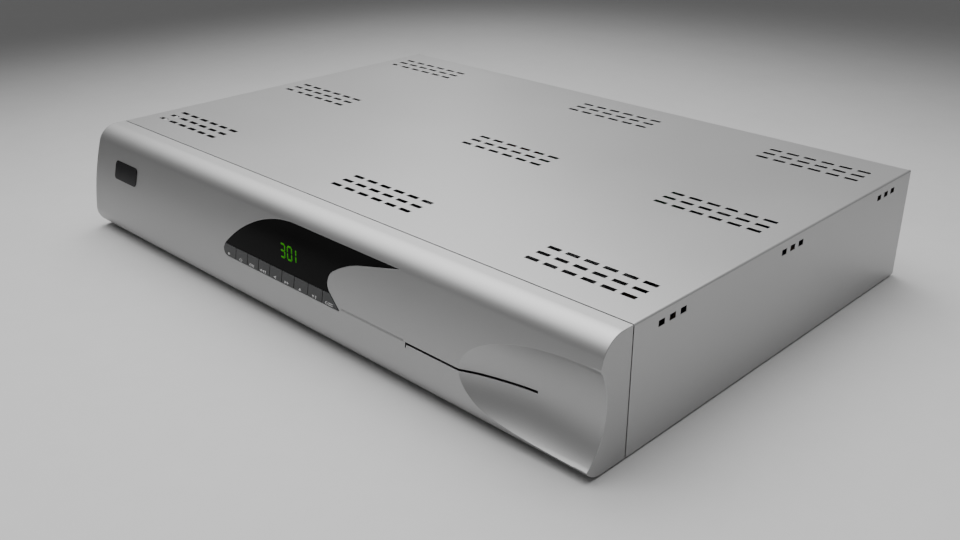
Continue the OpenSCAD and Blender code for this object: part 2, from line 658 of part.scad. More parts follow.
// Mains inlet, three flat pins inside a shrouded socket
module inlet_outline(w, h, cut)
    polygon([[-w / 2, -h / 2], [w / 2, -h / 2], [w / 2, h / 2 - cut], [w / 2 - cut, h / 2],
        [cut - w / 2, h / 2], [-w / 2, h / 2 - cut]]);
module mains_inlet() color("#1b1b1d") in_case() difference() {
    union() {
        box([inlet_x - 13.4, 254, inlet_z - 9.4], [inlet_x + 13.4, panel_out + eps, inlet_z + 9.4]);
        translate([inlet_x, panel_out + 2.5, inlet_z]) rotate([90, 0, 0])
        linear_extrude(2.5) difference() {
            union() {
                square([28, 23], center = true);
                polygon([[-25, -3.5], [-13, -11.5], [13, -11.5], [25, -3.5], [25, 3.5], [13, 11.5],
                    [-13, 11.5], [-25, 3.5]]);
            }
            for (side = [-1, 1]) translate([side * 20, 0]) circle(1.7);
        }
    }
    translate([inlet_x, panel_out + 3.5, inlet_z]) rotate([90, 0, 0])
        linear_extrude(18) inlet_outline(24, 16.4, 5);
}
module inlet_pins() color("#c8b98e") in_case() {
    for (x = [-7, 7])
        box([inlet_x + x - 1, panel_out - 14.5, inlet_z - 5],
            [inlet_x + x + 1, panel_out - 2, inlet_z - 1]);
    box([inlet_x - 1, panel_out - 14.5, inlet_z + 0.5], [inlet_x + 1, panel_out - 2, inlet_z + 4.5]);
}

// Mains rocker switch, pivoting about a pin along X
module switch_housing() color("#1b1b1d") in_case() difference() {
    union() {
        box([rocker_x - 6.4, 256, rocker_z - 9.4],
            [rocker_x + 6.4, panel_out + eps, rocker_z + 9.4]);
        box([rocker_x - 7.6, panel_out, rocker_z - 10.6],
            [rocker_x + 7.6, panel_out + 1.6, rocker_z + 10.6]);
    }
    box([rocker_x - 4.8, panel_out - 9, rocker_z - 8.2],
        [rocker_x + 4.8, panel_out + 3, rocker_z + 8.2]);
    translate([rocker_x - 5.8, rocker_pivot, rocker_z]) rotate([0, 90, 0]) cylinder(r = 1.05, h = 11.6);
}
module power_rocker() color("#2a2b2d") in_case()
    translate([rocker_x, rocker_pivot, rocker_z]) rotate([-rocker_tilt, 0, 0]) {
        translate([-4.4, 0, 0]) rotate([90, 0, 90]) linear_extrude(8.8)
            polygon([[-4, -5], [2.6, -7], [3.4, -6.6], [2, 0], [3.4, 6.6], [2.6, 7], [-4, 5]]);
        translate([-5.6, 0, 0]) rotate([0, 90, 0]) cylinder(r = 1, h = 11.2);
    }

// Mains power supply
module supply_board() color("#7b6a3e") in_case() difference() {
    box([supply_x[0], supply_y[0], board_z], [supply_x[1], supply_y[1], board_top]);
    for (p = supply_posts) translate([p[0], p[1], 0]) cylinder(r = screw_r + 0.1, h = 20);
}
module supply_transformer() color("#c7a93b") in_case() {
    box([146, 150, board_top], [180, 178, board_top + 24]);
    box([150, 144, board_top + 4], [176, 184, board_top + 20]);
}
module supply_capacitors() color("#2d3340") in_case() {
    translate([164, 212, board_top]) cylinder(r = 11, h = 30);
    for (i = [0:2]) translate([140 + 14 * i, 116, board_top]) cylinder(r = 5, h = 20);
}
module supply_heat_sink() color("#9a9da0") in_case() {
    box([130, 140, board_top], [133, 200, board_top + 26]);
    for (i = [0:5]) box([124, 144 + 10 * i, board_top + 4], [130 + eps, 146 + 10 * i, board_top + 26]);
}
module power_harness() color("#d8c24a") in_case() {
    box([66, 182, board_top], [78.5, 190, board_top + 9]);
    box([78.5 - eps, 182, board_top + 3], [120.5, 190, board_top + 5]);
    box([120.5 - eps, 182, board_top], [123.4, 190, board_top + 7]);
    for (x = [rocker_x, inlet_x]) {
        box([x - 5, 238, board_top], [x + 5, 246, board_top + 10]);
        box([x - 4, 246 - eps, board_top + 6], [x + 4, x == inlet_x ? 254 : 256, board_top + 8.4]);
    }
}

// Fasteners and feet
module cross_cut(x, y, z)
    for (a = [0, 90]) translate([x, y, z]) rotate([0, a, 0]) cube([3.6, 1.6, 0.8], center = true);
module board_standoffs() color("#b8a35a") in_case() for (p = concat(main_posts, supply_posts))
    translate([p[0], p[1], floor_top]) difference() {
        cylinder(r = 3, h = standoff_h, $fn = 6);
        translate([0, 0, 1]) cylinder(r = screw_r, h = standoff_h);
    }
module board_screws() color("#b9bbbd") in_case() for (p = concat(main_posts, supply_posts))
    translate([p[0], p[1], board_top]) {
        cylinder(r = 2.8, h = 1.9);
        translate([0, 0, -5]) cylinder(r = screw_r - 0.05, h = 5 + eps);
    }
module bezel_screws() color("#b9bbbd") in_case() for (p = boss_at) {
    rod_y(p[0], p[1], screw_r - 0.05, -8, 0.5 + sheet + eps);
    rod_y(p[0], p[1], 2.8, 0.5 + sheet, 3.5);
}
module cover_screws() color("#9fa1a3") in_case() for (x = cover_screw_x) difference() {
    union() {
        rod_y(x, cover_screw_z, screw_r, panel_in - 3, cover_d + eps);
        rod_y(x, cover_screw_z, 2.9, cover_d, cover_d + 1.9);
    }
    cross_cut(x, cover_d + 1.9, cover_screw_z);
}
module rear_screws() color("#9fa1a3") in_case() {
    heads = concat(panel_screw_at, [ground_at]);
    for (p = heads) difference() {
        union() {
            rod_y(p[0], p[1], screw_r, panel_in - 3, panel_out + eps);
            rod_y(p[0], p[1], 2.9, panel_out, panel_out + 1.9);
        }
        cross_cut(p[0], panel_out + 1.9, p[1]);
    }
    for (side = [-1, 1]) {
        rod_y(inlet_x + 20 * side, inlet_z, screw_r, panel_in - 3, panel_out + 2.5 + eps);
        rod_y(inlet_x + 20 * side, inlet_z, 2.6, panel_out + 2.5, panel_out + 4);
    }
}
module rubber_feet() color("#1d1d1e") in_case() for (p = foot_at) translate([p[0], p[1], 0]) {
    translate([0, 0, -foot_h]) cylinder(r = 9, h = foot_h);
    translate([0, 0, -eps]) cylinder(r = 2.5, h = floor_top + 2 * eps);
    translate([0, 0, floor_top]) cylinder(r = 4, h = 1.6);
}

top_cover();
base_pan();
rear_panel();
front_bezel();
display_window();
badge_plate();
button_1();
button_2();
button_3();
button_4();
button_5();
button_6();
button_7();
button_8();
button_9();
front_board();
tact_switches();
led_display();
digit_segments();
infrared_receiver();
card_reader();
main_board();
board_chips();
heat_sink();
board_capacitors();
cell_holder();
coin_cell();
hard_drive();
drive_bracket();
drive_screws();
drive_cable();
ribbon_cable();
fan_frame();
fan_rotor();
fan_guard();
fan_screws();
bnc_sockets();
rca_shells();
rca_insulators();
vga_port();
vga_posts();
hdmi_port();
lan_port();
usb_ports();
alarm_terminal();
mains_inlet();
inlet_pins();
switch_housing();
power_rocker();
supply_board();
supply_transformer();
supply_capacitors();
supply_heat_sink();
power_harness();
board_standoffs();
board_screws();
bezel_screws();
cover_screws();
rear_screws();
rubber_feet();
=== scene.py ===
"""Digital video recorder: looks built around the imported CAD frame."""
import json
import math
from collections import Counter

import bmesh
import bpy
import numpy as np
from mathutils import Matrix, Vector
from mathutils.geometry import delaunay_2d_cdt

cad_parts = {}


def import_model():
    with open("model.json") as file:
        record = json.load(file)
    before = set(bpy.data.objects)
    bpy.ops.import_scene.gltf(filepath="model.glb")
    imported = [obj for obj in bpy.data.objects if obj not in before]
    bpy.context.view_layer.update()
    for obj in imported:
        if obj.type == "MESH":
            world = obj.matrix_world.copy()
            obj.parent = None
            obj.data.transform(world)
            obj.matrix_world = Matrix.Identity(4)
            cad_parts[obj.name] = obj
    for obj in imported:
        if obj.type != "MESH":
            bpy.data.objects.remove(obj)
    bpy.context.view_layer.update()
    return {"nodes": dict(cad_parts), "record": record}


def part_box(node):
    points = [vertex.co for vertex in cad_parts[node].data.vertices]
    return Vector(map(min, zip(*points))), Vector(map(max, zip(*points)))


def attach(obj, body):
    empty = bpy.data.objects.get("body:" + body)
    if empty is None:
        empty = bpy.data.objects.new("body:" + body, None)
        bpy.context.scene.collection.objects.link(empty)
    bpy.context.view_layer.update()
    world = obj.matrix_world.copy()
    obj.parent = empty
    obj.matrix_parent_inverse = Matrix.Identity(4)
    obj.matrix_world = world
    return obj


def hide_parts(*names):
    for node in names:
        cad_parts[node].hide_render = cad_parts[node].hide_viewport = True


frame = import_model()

MM = 0.001
# Case frame, in millimetres: Y = 0 at the bezel seam and Z = 0 at the underside of the case
SEAM_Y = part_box("top_cover")[0].y / MM
FOOT_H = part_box("base_pan")[0].z / MM
HALF_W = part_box("top_cover")[1].x / MM
BODY_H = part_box("top_cover")[1].z / MM - FOOT_H
COVER_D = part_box("top_cover")[1].y / MM - SEAM_Y
BEZEL_D = SEAM_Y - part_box("front_bezel")[0].y / MM
SHEET = 1.0
PANEL_OUT = COVER_D - SHEET


def world(p):
    """A case-frame point in millimetres as a point of the shared frame in metres."""
    return p[0] * MM, (p[1] + SEAM_Y) * MM, (p[2] + FOOT_H) * MM


def link(name, data):
    obj = bpy.data.objects.new(name, data)
    bpy.context.scene.collection.objects.link(obj)
    return obj


# ---- camera, floor and light

LENS, SENSOR, CLIP = 39.12, 36.0, (0.01, 50.0)
CAMERA_AT, CAMERA_TURN = (0.44109, -0.45318, 0.27514), (44.267, 24.827, -0.088)
SOFTBOX_AT, SOFTBOX_AIM, SOFTBOX_SIZE = (-0.03, -0.085, 0.736), (0.29, -0.26, 0), (1.36, 1.32)
SOFTBOX_POWER, SOFTBOX_SPREAD, AMBIENT = 9, 110.6, 0.185
FLOOR_REACH = 6


def camera():
    """The viewpoint, turned by yaw, pitch and roll in degrees."""
    data = bpy.data.cameras.new("camera")
    data.lens, data.sensor_width = LENS, SENSOR
    data.clip_start, data.clip_end = CLIP
    obj = link("camera", data)
    yaw, pitch, roll = (math.radians(a) for a in CAMERA_TURN)
    turn = Matrix.Rotation(yaw, 4, "Z") @ Matrix.Rotation(math.pi / 2 - pitch, 4, "X")
    obj.matrix_world = Matrix.Translation(CAMERA_AT) @ turn @ Matrix.Rotation(roll, 4, "Z")
    bpy.context.scene.camera = obj


def softbox():
    """One large light, turned so that one pair of its sides stays square to the Y axis."""
    data = bpy.data.lights.new("softbox", "AREA")
    data.shape = "RECTANGLE"
    data.size, data.size_y = SOFTBOX_SIZE
    data.energy, data.spread = SOFTBOX_POWER, math.radians(SOFTBOX_SPREAD)
    obj = link("softbox", data)
    aim = (Vector(SOFTBOX_AIM) - Vector(SOFTBOX_AT)).normalized()
    across = aim.cross(Vector((0, 1, 0))).normalized()
    turn = Matrix((across, aim.cross(-across), -aim)).transposed().to_4x4()
    obj.matrix_world = Matrix.Translation(SOFTBOX_AT) @ turn
    obj.visible_camera = False


def ambient():
    sky = bpy.data.worlds.new("studio")
    bpy.context.scene.world = sky
    sky.use_nodes = True
    fill_in(sky.node_tree.nodes["Background"], Color=(1, 1, 1, 1), Strength=AMBIENT)


def floor():
    mesh = bpy.data.meshes.new("floor")
    corners = [(x * FLOOR_REACH, y * FLOOR_REACH, 0) for x, y in ((-1, -1), (1, -1), (1, 1), (-1, 1))]
    mesh.from_pydata(corners, [], [(0, 1, 2, 3)])
    obj = link("floor", mesh)
    mesh.materials.append(finish("floor_paper", *FLOOR_PAPER))


# ---- materials

def fill_in(node, **values):
    """Sets a node's inputs; an underscore in a name stands for a space."""
    for name, value in values.items():
        node.inputs[name.replace("_", " ")].default_value = value
    return node


def finish(name, base, metallic, rough, vary, grain, bump=0.0, specular=0.5, coat=0.0,
           rough_vary=0.06, smudge=14):
    """A procedural finish: fine grain and slow cloudy variation in colour and roughness."""
    mat = bpy.data.materials.new(name)
    mat.use_nodes = True
    nodes, wire = mat.node_tree.nodes, mat.node_tree.links.new

    def add(kind, **values):
        return fill_in(nodes.new("ShaderNode" + kind), **values)
    shader = fill_in(nodes["Principled BSDF"], Metallic=metallic, Specular_IOR_Level=specular,
                     Coat_Weight=coat, Coat_Roughness=0.08)
    where = add("TexCoord")
    fine, slow = add("TexNoise", Scale=grain, Detail=3), add("TexNoise", Scale=smudge, Detail=4)
    both = add("Math")
    ramp = add("MapRange", From_Min=0.6, From_Max=1.4)
    mix = add("Mix")
    mix.data_type = "RGBA"
    dark, light = mix.inputs[6], mix.inputs[7]
    dark.default_value = (*(c * (1 - vary) for c in base), 1)
    light.default_value = (*(c * (1 + vary) for c in base), 1)
    sheen = add("MapRange", From_Min=0.3, From_Max=0.7, To_Min=max(rough - rough_vary, 0.03),
                To_Max=min(rough + rough_vary, 1))
    wire(where.outputs["Object"], fine.inputs["Vector"])
    wire(where.outputs["Object"], slow.inputs["Vector"])
    wire(fine.outputs["Fac"], both.inputs[0])
    wire(slow.outputs["Fac"], both.inputs[1])
    wire(both.outputs[0], ramp.inputs["Value"])
    wire(ramp.outputs["Result"], mix.inputs[0])
    wire(mix.outputs[2], shader.inputs["Base Color"])
    wire(slow.outputs["Fac"], sheen.inputs["Value"])
    wire(sheen.outputs["Result"], shader.inputs["Roughness"])
    if bump:
        relief = add("Bump", Strength=1.0, Distance=bump * MM)
        wire(fine.outputs["Fac"], relief.inputs["Height"])
        wire(relief.outputs["Normal"], shader.inputs["Normal"])
    return mat


# Each finish: colour, metallic, roughness, colour variation and grain, then bump, specular and
# coat. SILVER gives everything from the grain on for the two silver paints.
SILVER = (2200, 0.002, 0.5, 0.0, 0.012, 9)
FLOOR_PAPER = ((0.575, 0.575, 0.575), 0, 0.75, 0.02, 60)
FINISHES = {
    "cover_paint": ((0.455, 0.455, 0.455), 0.52, 0.33, 0.035, *SILVER),
    "bezel_plastic": ((0.437, 0.437, 0.437), 1, 0.46, 0.03, *SILVER),
    "pan_steel": ((0.5, 0.51, 0.52), 0.9, 0.36, 0.08, 500, 0.003),
    "panel_paint": ((0.46, 0.465, 0.47), 0.7, 0.42, 0.04, 1800, 0.006),
    "smoked_window": ((0.0075, 0.0075, 0.0075), 0, 0.12, 0.1, 900, 0, 0.04),
    "badge_black": ((0.006, 0.006, 0.007), 0, 0.2, 0.2, 1500, 0.002, 0.3),
    "key_plastic": ((0.067, 0.068, 0.069), 0, 0.5, 0.08, 2600, 0.01, 0.3),
    "board_green": ((0.02, 0.12, 0.05), 0, 0.35, 0.2, 700, 0.01, 0.5, 0.3),
    "black_plastic": ((0.018, 0.018, 0.019), 0, 0.45, 0.15, 2000, 0.012),
    "led_green": ((0.026, 0.24, 0.0008), 0, 0.4, 0.1, 2500, 0, 0.05),
    "drive_metal": ((0.11, 0.115, 0.12), 0.6, 0.5, 0.12, 800, 0.03),
    "bright_metal": ((0.72, 0.72, 0.7), 1, 0.2, 0.05, 1500, 0.002),
    "aluminium": ((0.6, 0.61, 0.62), 1, 0.38, 0.06, 1200, 0.004),
    "screw_steel": ((0.5, 0.5, 0.49), 1, 0.3, 0.1, 1600, 0.004),
    "brass": ((0.75, 0.55, 0.22), 1, 0.25, 0.06, 1500, 0.002),
    "red_plastic": ((0.5, 0.02, 0.015), 0, 0.35, 0.08, 1800, 0.004),
    "green_plastic": ((0.02, 0.2, 0.05), 0, 0.4, 0.08, 1800, 0.006),
    "grey_cable": ((0.32, 0.325, 0.33), 0, 0.5, 0.06, 900, 0.01),
    "tape_yellow": ((0.32, 0.2, 0.03), 0, 0.4, 0.08, 900, 0.01),
    "supply_brown": ((0.1, 0.062, 0.03), 0, 0.55, 0.15, 700, 0.02),
    "capacitor_sleeve": ((0.02, 0.03, 0.07), 0, 0.25, 0.1, 900, 0.003),
    "foot_rubber": ((0.015, 0.015, 0.015), 0, 0.8, 0.2, 1600, 0.03),
    "mark_white": ((0.55, 0.55, 0.55), 0, 0.5, 0.05, 2500),
    "white_nylon": ((0.7, 0.69, 0.66), 0, 0.4, 0.04, 1500, 0.004),
    "blue_plastic": ((0.02, 0.06, 0.3), 0, 0.4, 0.08, 1500, 0.004),
}
# How strongly a finish glows
LIT = {"led_green": 0.36}


def make_finishes():
    made = {name: finish(name, *values) for name, values in FINISHES.items()}
    for name, strength in LIT.items():
        shader = made[name].node_tree.nodes["Principled BSDF"]
        fill_in(shader, Emission_Color=(*FINISHES[name][0], 1), Emission_Strength=strength)
    return made


FINISH = make_finishes()


def dress(obj, slot):
    """Gives a piece its finish and says which of the record's slots it comes from."""
    obj.data.materials.clear()
    obj.data.materials.append(FINISH[slot])


def dress_cad_nodes():
    for part in frame["record"]["subparts"]:
        for material_slot in frame["nodes"][part["node"]].material_slots:
            material_slot.link = "OBJECT"
            material_slot.material = FINISH[part["material_slot"]]


# ---- mesh helpers

class Shell:
    """Collects case-frame points with their normals, and faces, for one closed mesh."""

    def __init__(self):
        self.points, self.normals, self.faces = [], [], []

    def add(self, points, normals):
        start = len(self.points)
        self.points.extend(tuple(p) for p in points)
        self.normals.extend(tuple(n) for n in normals)
        return list(range(start, start + len(points)))

    def strip(self, a, b, closed=True):
        count = len(a)
        for i in range(count if closed else count - 1):
            j = (i + 1) % count
            self.faces.append((a[i], a[j], b[j], b[i]))

    def welded(self):
        """Points, normals and faces with coincident points made one and empty faces dropped."""
        seen, keep, new = {}, [], []
        for i, p in enumerate(self.points):
            key = tuple(round(c, 5) for c in p)
            if key not in seen:
                seen[key] = len(keep)
                keep.append(i)
            new.append(seen[key])
        faces = []
        for face in self.faces:
            ring = [new[i] for i in face]
            ring = [v for k, v in enumerate(ring) if v != ring[k - 1]]
            if len(set(ring)) > 2:
                faces.append(tuple(ring))
        return [self.points[i] for i in keep], [self.normals[i] for i in keep], faces

    def build(self, name, use_normals=True):
        points, normals, faces = self.welded()
        mesh = closed_mesh(name, points, faces)
        if use_normals:
            mesh.normals_split_custom_set_from_vertices(normals)
        return link(name, mesh)


def closed_mesh(name, points, faces):
    """A smooth mesh of case-frame points, with its faces turned outward."""
    mesh = bpy.data.meshes.new(name)
    mesh.from_pydata([world(p) for p in points], [], faces)
    bm = bmesh.new()
    bm.from_mesh(mesh)
    bmesh.ops.recalc_face_normals(bm, faces=bm.faces)
    bm.to_mesh(mesh)
    bm.free()
    mesh.shade_smooth()
    return mesh


def place(obj, slot, body="root", stands_for=()):
    dress(obj, slot)
    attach(obj, body)
    if stands_for:
        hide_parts(*stands_for)
    return obj


def soften(obj, width, segments=2, angle=35):
    """Rounds every edge sharper than angle and evens the shading of the flats."""
    bevel = obj.modifiers.new("round", "BEVEL")
    bevel.width, bevel.segments = width * MM, segments
    bevel.limit_method, bevel.angle_limit = "ANGLE", math.radians(angle)
    bevel.miter_outer = "MITER_ARC"
    bevel.harden_normals = False
    weighted = obj.modifiers.new("even", "WEIGHTED_NORMAL")
    weighted.keep_sharp = True
    weighted.weight = 60
    depsgraph = bpy.context.evaluated_depsgraph_get()
    mesh = bpy.data.meshes.new_from_object(obj.evaluated_get(depsgraph))
    obj.modifiers.clear()
    obj.data = mesh
    return obj


def from_bmesh(name, bm, smooth=True):
    mesh = bpy.data.meshes.new(name)
    bmesh.ops.recalc_face_normals(bm, faces=bm.faces)
    for v in bm.verts:
        v.co = world(v.co)
    bm.to_mesh(mesh)
    bm.free()
    if smooth:
        mesh.shade_smooth()
    return link(name, mesh)


# ---- bezel outline in Y and Z

EDGE = 0.35
SEAM_GAP = 0.6
SHOULDER_FLAT, SHOULDER_R, CHIN_R, FACE_R = 7.3, 14.0, 12.0, 200.0


def tangent_face():
    """Centre of the crowned face arc, and the angles where it meets the shoulder and chin arcs."""
    shoulder = np.array([-SHOULDER_FLAT, BODY_H - SHOULDER_R])
    chin = np.array([CHIN_R - BEZEL_D, CHIN_R])
    span = np.linalg.norm(chin - shoulder)
    down = (chin - shoulder) / span
    along = ((FACE_R - SHOULDER_R) ** 2 - (FACE_R - CHIN_R) ** 2 + span ** 2) / (2 * span)
    across = math.sqrt((FACE_R - SHOULDER_R) ** 2 - along ** 2)
    face = shoulder + along * down + across * np.array([-down[1], down[0]])
    start, end = (math.atan2(*(c - face)[::-1]) % (2 * math.pi) for c in (shoulder, chin))
    return shoulder, chin, face, start, end


SHOULDER_C, CHIN_C, FACE_C, FACE_A0, FACE_A1 = tangent_face()


def outline_segments():
    """Each stretch from the top rear edge round to the bottom one, and its number of mesh rows."""
    rear = -SEAM_GAP - EDGE
    return [
        ("arc", (rear, BODY_H - EDGE), EDGE, 0, math.pi / 2, 3),
        ("line", (rear, BODY_H), (SHOULDER_C[0], BODY_H), 3),
        ("arc", SHOULDER_C, SHOULDER_R, math.pi / 2, FACE_A0, 30),
        ("arc", FACE_C, FACE_R, FACE_A0, FACE_A1, 44),
        ("arc", CHIN_C, CHIN_R, FACE_A1, 1.5 * math.pi, 26),
        ("line", (CHIN_C[0], 0.0), (rear, 0.0), 4),
        ("arc", (rear, EDGE), EDGE, 1.5 * math.pi, 2 * math.pi, 3),
    ]


class Outline:
    """The bezel's outline as a path: s is the distance along it from the top rear edge."""

    def __init__(self):
        self.parts, self.rows, s = [], [0.0], 0.0
        for kind, *data, steps in outline_segments():
            if kind == "arc":
                _, r, a0, a1 = data
                length = r * (a1 - a0)
            else:
                length = math.dist(*data)
            self.parts.append((s, length, kind, data))
            self.rows += [s + length * (i + 1) / steps for i in range(steps)]
            s += length
        self.length = s
        dense = np.linspace(self.parts[1][0] + self.parts[1][1], self.parts[5][0], 4000)
        self.dense_s, self.dense_z = dense, np.array([self.at(v)[0][1] for v in dense])

    def at(self, s):
        """The point in Y and Z and the outward normal at s."""
        for s0, length, kind, data in self.parts:
            if s <= s0 + length + 1e-9:
                break
        t = min(max((s - s0) / length, 0), 1)
        if kind == "arc":
            c, r, a0, a1 = data
            a = a0 + (a1 - a0) * t
            n = (math.cos(a), math.sin(a))
            return (c[0] + r * n[0], c[1] + r * n[1]), n
        p, q = data
        up = 1 if p[1] > BODY_H / 2 else -1
        return (p[0] + (q[0] - p[0]) * t, p[1]), (0, up)

    def s_of_z(self, z):
        return np.interp(-np.asarray(z, float), -self.dense_z, self.dense_s)


PATH = Outline()

# Finger scoop: part of a torus lying flat, open at the right-hand end
SCOOP_X, SCOOP_Z, SCOOP_PLAN_R, SCOOP_R, SCOOP_REAR = 211.0, 32.5, 215.0, 33.5, 14.7
SCOOP_BLEND, NO_SCOOP = 0.04, -1e3
SCOOP_FROM, SCOOP_TOP, SCOOP_BOTTOM = 120, 54, 4
END_FILL, FILL_FROM, FILL_Z, FILL_SPAN = 1.7, 165.0, 29.0, 22.0


def scoop_y(x, z):
    """The scoop's depth at x and z, filled a little towards the open end."""
    inner = SCOOP_R ** 2 - (z - SCOOP_Z) ** 2
    if inner <= 0:
        return NO_SCOOP
    reach = SCOOP_PLAN_R - SCOOP_R + math.sqrt(inner)
    side = reach ** 2 - (x - SCOOP_X) ** 2
    if side <= 0:
        return NO_SCOOP
    ramp = min(max((x - FILL_FROM) / (HALF_W - FILL_FROM), 0), 1)
    fill = END_FILL * ramp * ramp * (3 - 2 * ramp) * max(1 - ((z - FILL_Z) / FILL_SPAN) ** 2, 0)
    return -SCOOP_REAR - SCOOP_PLAN_R + math.sqrt(side) - fill


# Shallow parting line from the keys to the card slot: its lower flank leans back and catches light
PART_X = (48.9, 99.4)
PART_Z = (26.62, 26.5, 25.8)
PART_DEPTH, PART_FADE = 0.4, 0.6


def parting_depth(x, z):
    if not (PART_X[0] < x < PART_X[1] and PART_Z[2] < z < PART_Z[0]):
        return 0.0
    ends = min((x - PART_X[0]) / PART_FADE, (PART_X[1] - x) / PART_FADE, 1)
    across = np.interp(z, PART_Z[::-1], (0, 1, 0))
    return PART_DEPTH * ends * across


def skin(x, s):
    """The bezel's outer surface at x and s."""
    (y, z), _ = PATH.at(s)
    if x > SCOOP_FROM and SCOOP_BOTTOM < z < SCOOP_TOP:
        cut = scoop_y(x, z)
        near = max(SCOOP_BLEND - abs(cut - y), 0)
        y = max(y, cut) + near * near / (4 * SCOOP_BLEND)
    return np.array((x, y + parting_depth(x, z), z))


PROBE = 0.02


def skin_normal(x, s):
    (_, z), n = PATH.at(s)
    if x < SCOOP_FROM and parting_depth(x, z) == 0:
        return np.array((0, *n))
    lo, hi = max(s - PROBE, 0), min(s + PROBE, PATH.length)
    across = skin(x + PROBE, s) - skin(x - PROBE, s)
    down = skin(x, hi) - skin(x, lo)
    tilted = np.cross(down, across)
    tilted = tilted / np.linalg.norm(tilted)
    return tilted if tilted[1:] @ n > 0 else -tilted


# ---- flat outlines laid on the bezel

def flat_arc(c, r, a0, a1, n):
    turns = [math.radians(a0 + (a1 - a0) * i / n) for i in range(n + 1)]
    return [(c[0] + r * math.cos(a), c[1] + r * math.sin(a)) for a in turns]


WINDOW_TOP, KEYS_TOP, KEYS_BOTTOM, KEYS_LEFT = 59.2, 32.2, 25.1, -59.4
ARCH_R, CORNER_R = 83.0, 4.5
ARCH_C = (3.0, WINDOW_TOP - ARCH_R)
ARCH_A0 = 180 - math.degrees(math.asin((KEYS_TOP - ARCH_C[1]) / ARCH_R))
TAIL_TIP, TAIL_JOIN, TAIL_R, TAIL_SLOPE = (87.8, WINDOW_TOP), (58.2, 52.5), 60.0, 14.5
TAIL_C = (TAIL_JOIN[0] + TAIL_R * math.sin(math.radians(TAIL_SLOPE)),
          TAIL_JOIN[1] - TAIL_R * math.cos(math.radians(TAIL_SLOPE)))
NOSE_A, NOSE_END_A, NOSE_R = 124, 228, 7.25
NOSE_C = (TAIL_C[0] + (TAIL_R - NOSE_R) * math.cos(math.radians(NOSE_A)),
          TAIL_C[1] + (TAIL_R - NOSE_R) * math.sin(math.radians(NOSE_A)))
TOE = (48.5, KEYS_BOTTOM)
ARCH = flat_arc(ARCH_C, ARCH_R, ARCH_A0, 90, 44)
NOSE = flat_arc(NOSE_C, NOSE_R, NOSE_A, NOSE_END_A, 20)
TAIL = [TAIL_TIP] + flat_arc(TAIL_C, TAIL_R, 90 + TAIL_SLOPE, NOSE_A, 14)[:-1] + NOSE
NOSE_END = NOSE[-1]
KEYS_RIGHT = NOSE_END[0] + (TOE[0] - NOSE_END[0]) * (KEYS_TOP - NOSE_END[1]) / (TOE[1] - NOSE_END[1])
CORNER = flat_arc((KEYS_LEFT + CORNER_R, KEYS_BOTTOM + CORNER_R), CORNER_R, 270, 180, 12)
OPENING = CORNER + ARCH + TAIL + [TOE]
WINDOW = ARCH + TAIL + [(KEYS_RIGHT, KEYS_TOP)]
KEY_ROW = CORNER + [ARCH[0], (KEYS_RIGHT, KEYS_TOP), TOE]
KEY_WIDTHS = [12.8, 11.6, 10.8, 10.8, 11.3, 11.3, 12.3, 12.5, 14.0]
KEY_GAP, KEY_PROUD, KEY_EDGE, FLANGE_Y, TOE_BLUNT, STEM_HALF = 0.5, 0.3, 0.1, -24.4, 0.9, 1.5
SLOT_X, SLOT_Z, SLOT_H, SLOT_DROP = (100.4, 177.6), 26.2, 1.2, 0.45
SLOT_BEND, TICK_W, TICK_DROP = (136.0, 147.0), 0.7, 2.8
SLOT_LINE = [(SLOT_X[0], SLOT_Z - SLOT_DROP), (SLOT_BEND[0], SLOT_Z - SLOT_DROP),
             (SLOT_BEND[1], SLOT_Z), (SLOT_X[1], SLOT_Z)]
CARD_SLOT = [(SLOT_X[0] - TICK_W, SLOT_LINE[0][1] + SLOT_H / 2)]
CARD_SLOT += [(x, z + SLOT_H / 2) for x, z in SLOT_LINE[1:]]
CARD_SLOT += [(x, z - SLOT_H / 2) for x, z in SLOT_LINE[::-1]]
CARD_SLOT += [(SLOT_X[0], SLOT_Z - TICK_DROP), (SLOT_X[0] - TICK_W, SLOT_Z - TICK_DROP)]


def on_path(outline):
    """An outline in X and Z as one in X and s, in counter-clockwise order."""
    pts = np.array([(x, float(PATH.s_of_z(z))) for x, z in outline])
    x, s = pts[:, 0], pts[:, 1]
    area = np.sum(x * np.roll(s, -1) - np.roll(x, -1) * s)
    return pts if area > 0 else pts[::-1]


def split_long(points, step):
    """A closed outline with no edge longer than step."""
    out = []
    for a, b in zip(points, np.roll(points, -1, 0)):
        n = max(1, math.ceil(np.linalg.norm(b - a) / step))
        out += [a + (b - a) * i / n for i in range(n)]
    return np.array(out)


def rim(points, inside, fan=14):
    """Base points of a closed counter-clockwise outline and, at each, the way into the material.
    Corners that open towards the material get a fan of directions, the others one mitre."""
    base, ways = [], []
    count = len(points)
    turn_in = np.array([[0, -1], [1, 0]]) if inside else np.array([[0, 1], [-1, 0]])
    for i in range(count):
        e0, e1 = points[i] - points[i - 1], points[(i + 1) % count] - points[i]
        e0, e1 = e0 / np.linalg.norm(e0), e1 / np.linalg.norm(e1)
        n0, n1 = turn_in @ e0, turn_in @ e1
        angle = math.degrees(math.atan2(e0[0] * e1[1] - e0[1] * e1[0], e0 @ e1))
        opens = (angle < 0) if inside else (angle > 0)
        if abs(angle) > fan and opens:
            steps = max(2, math.ceil(abs(angle) / fan))
            for k in range(steps + 1):
                a = math.radians(angle * k / steps)
                c, d = math.cos(a), math.sin(a)
                ways.append(np.array([c * n0[0] - d * n0[1], d * n0[0] + c * n0[1]]))
                base.append(points[i])
        else:
            ways.append((n0 + n1) / max(1 + n0 @ n1, 0.2))
            base.append(points[i])
    return np.array(base), np.array(ways)


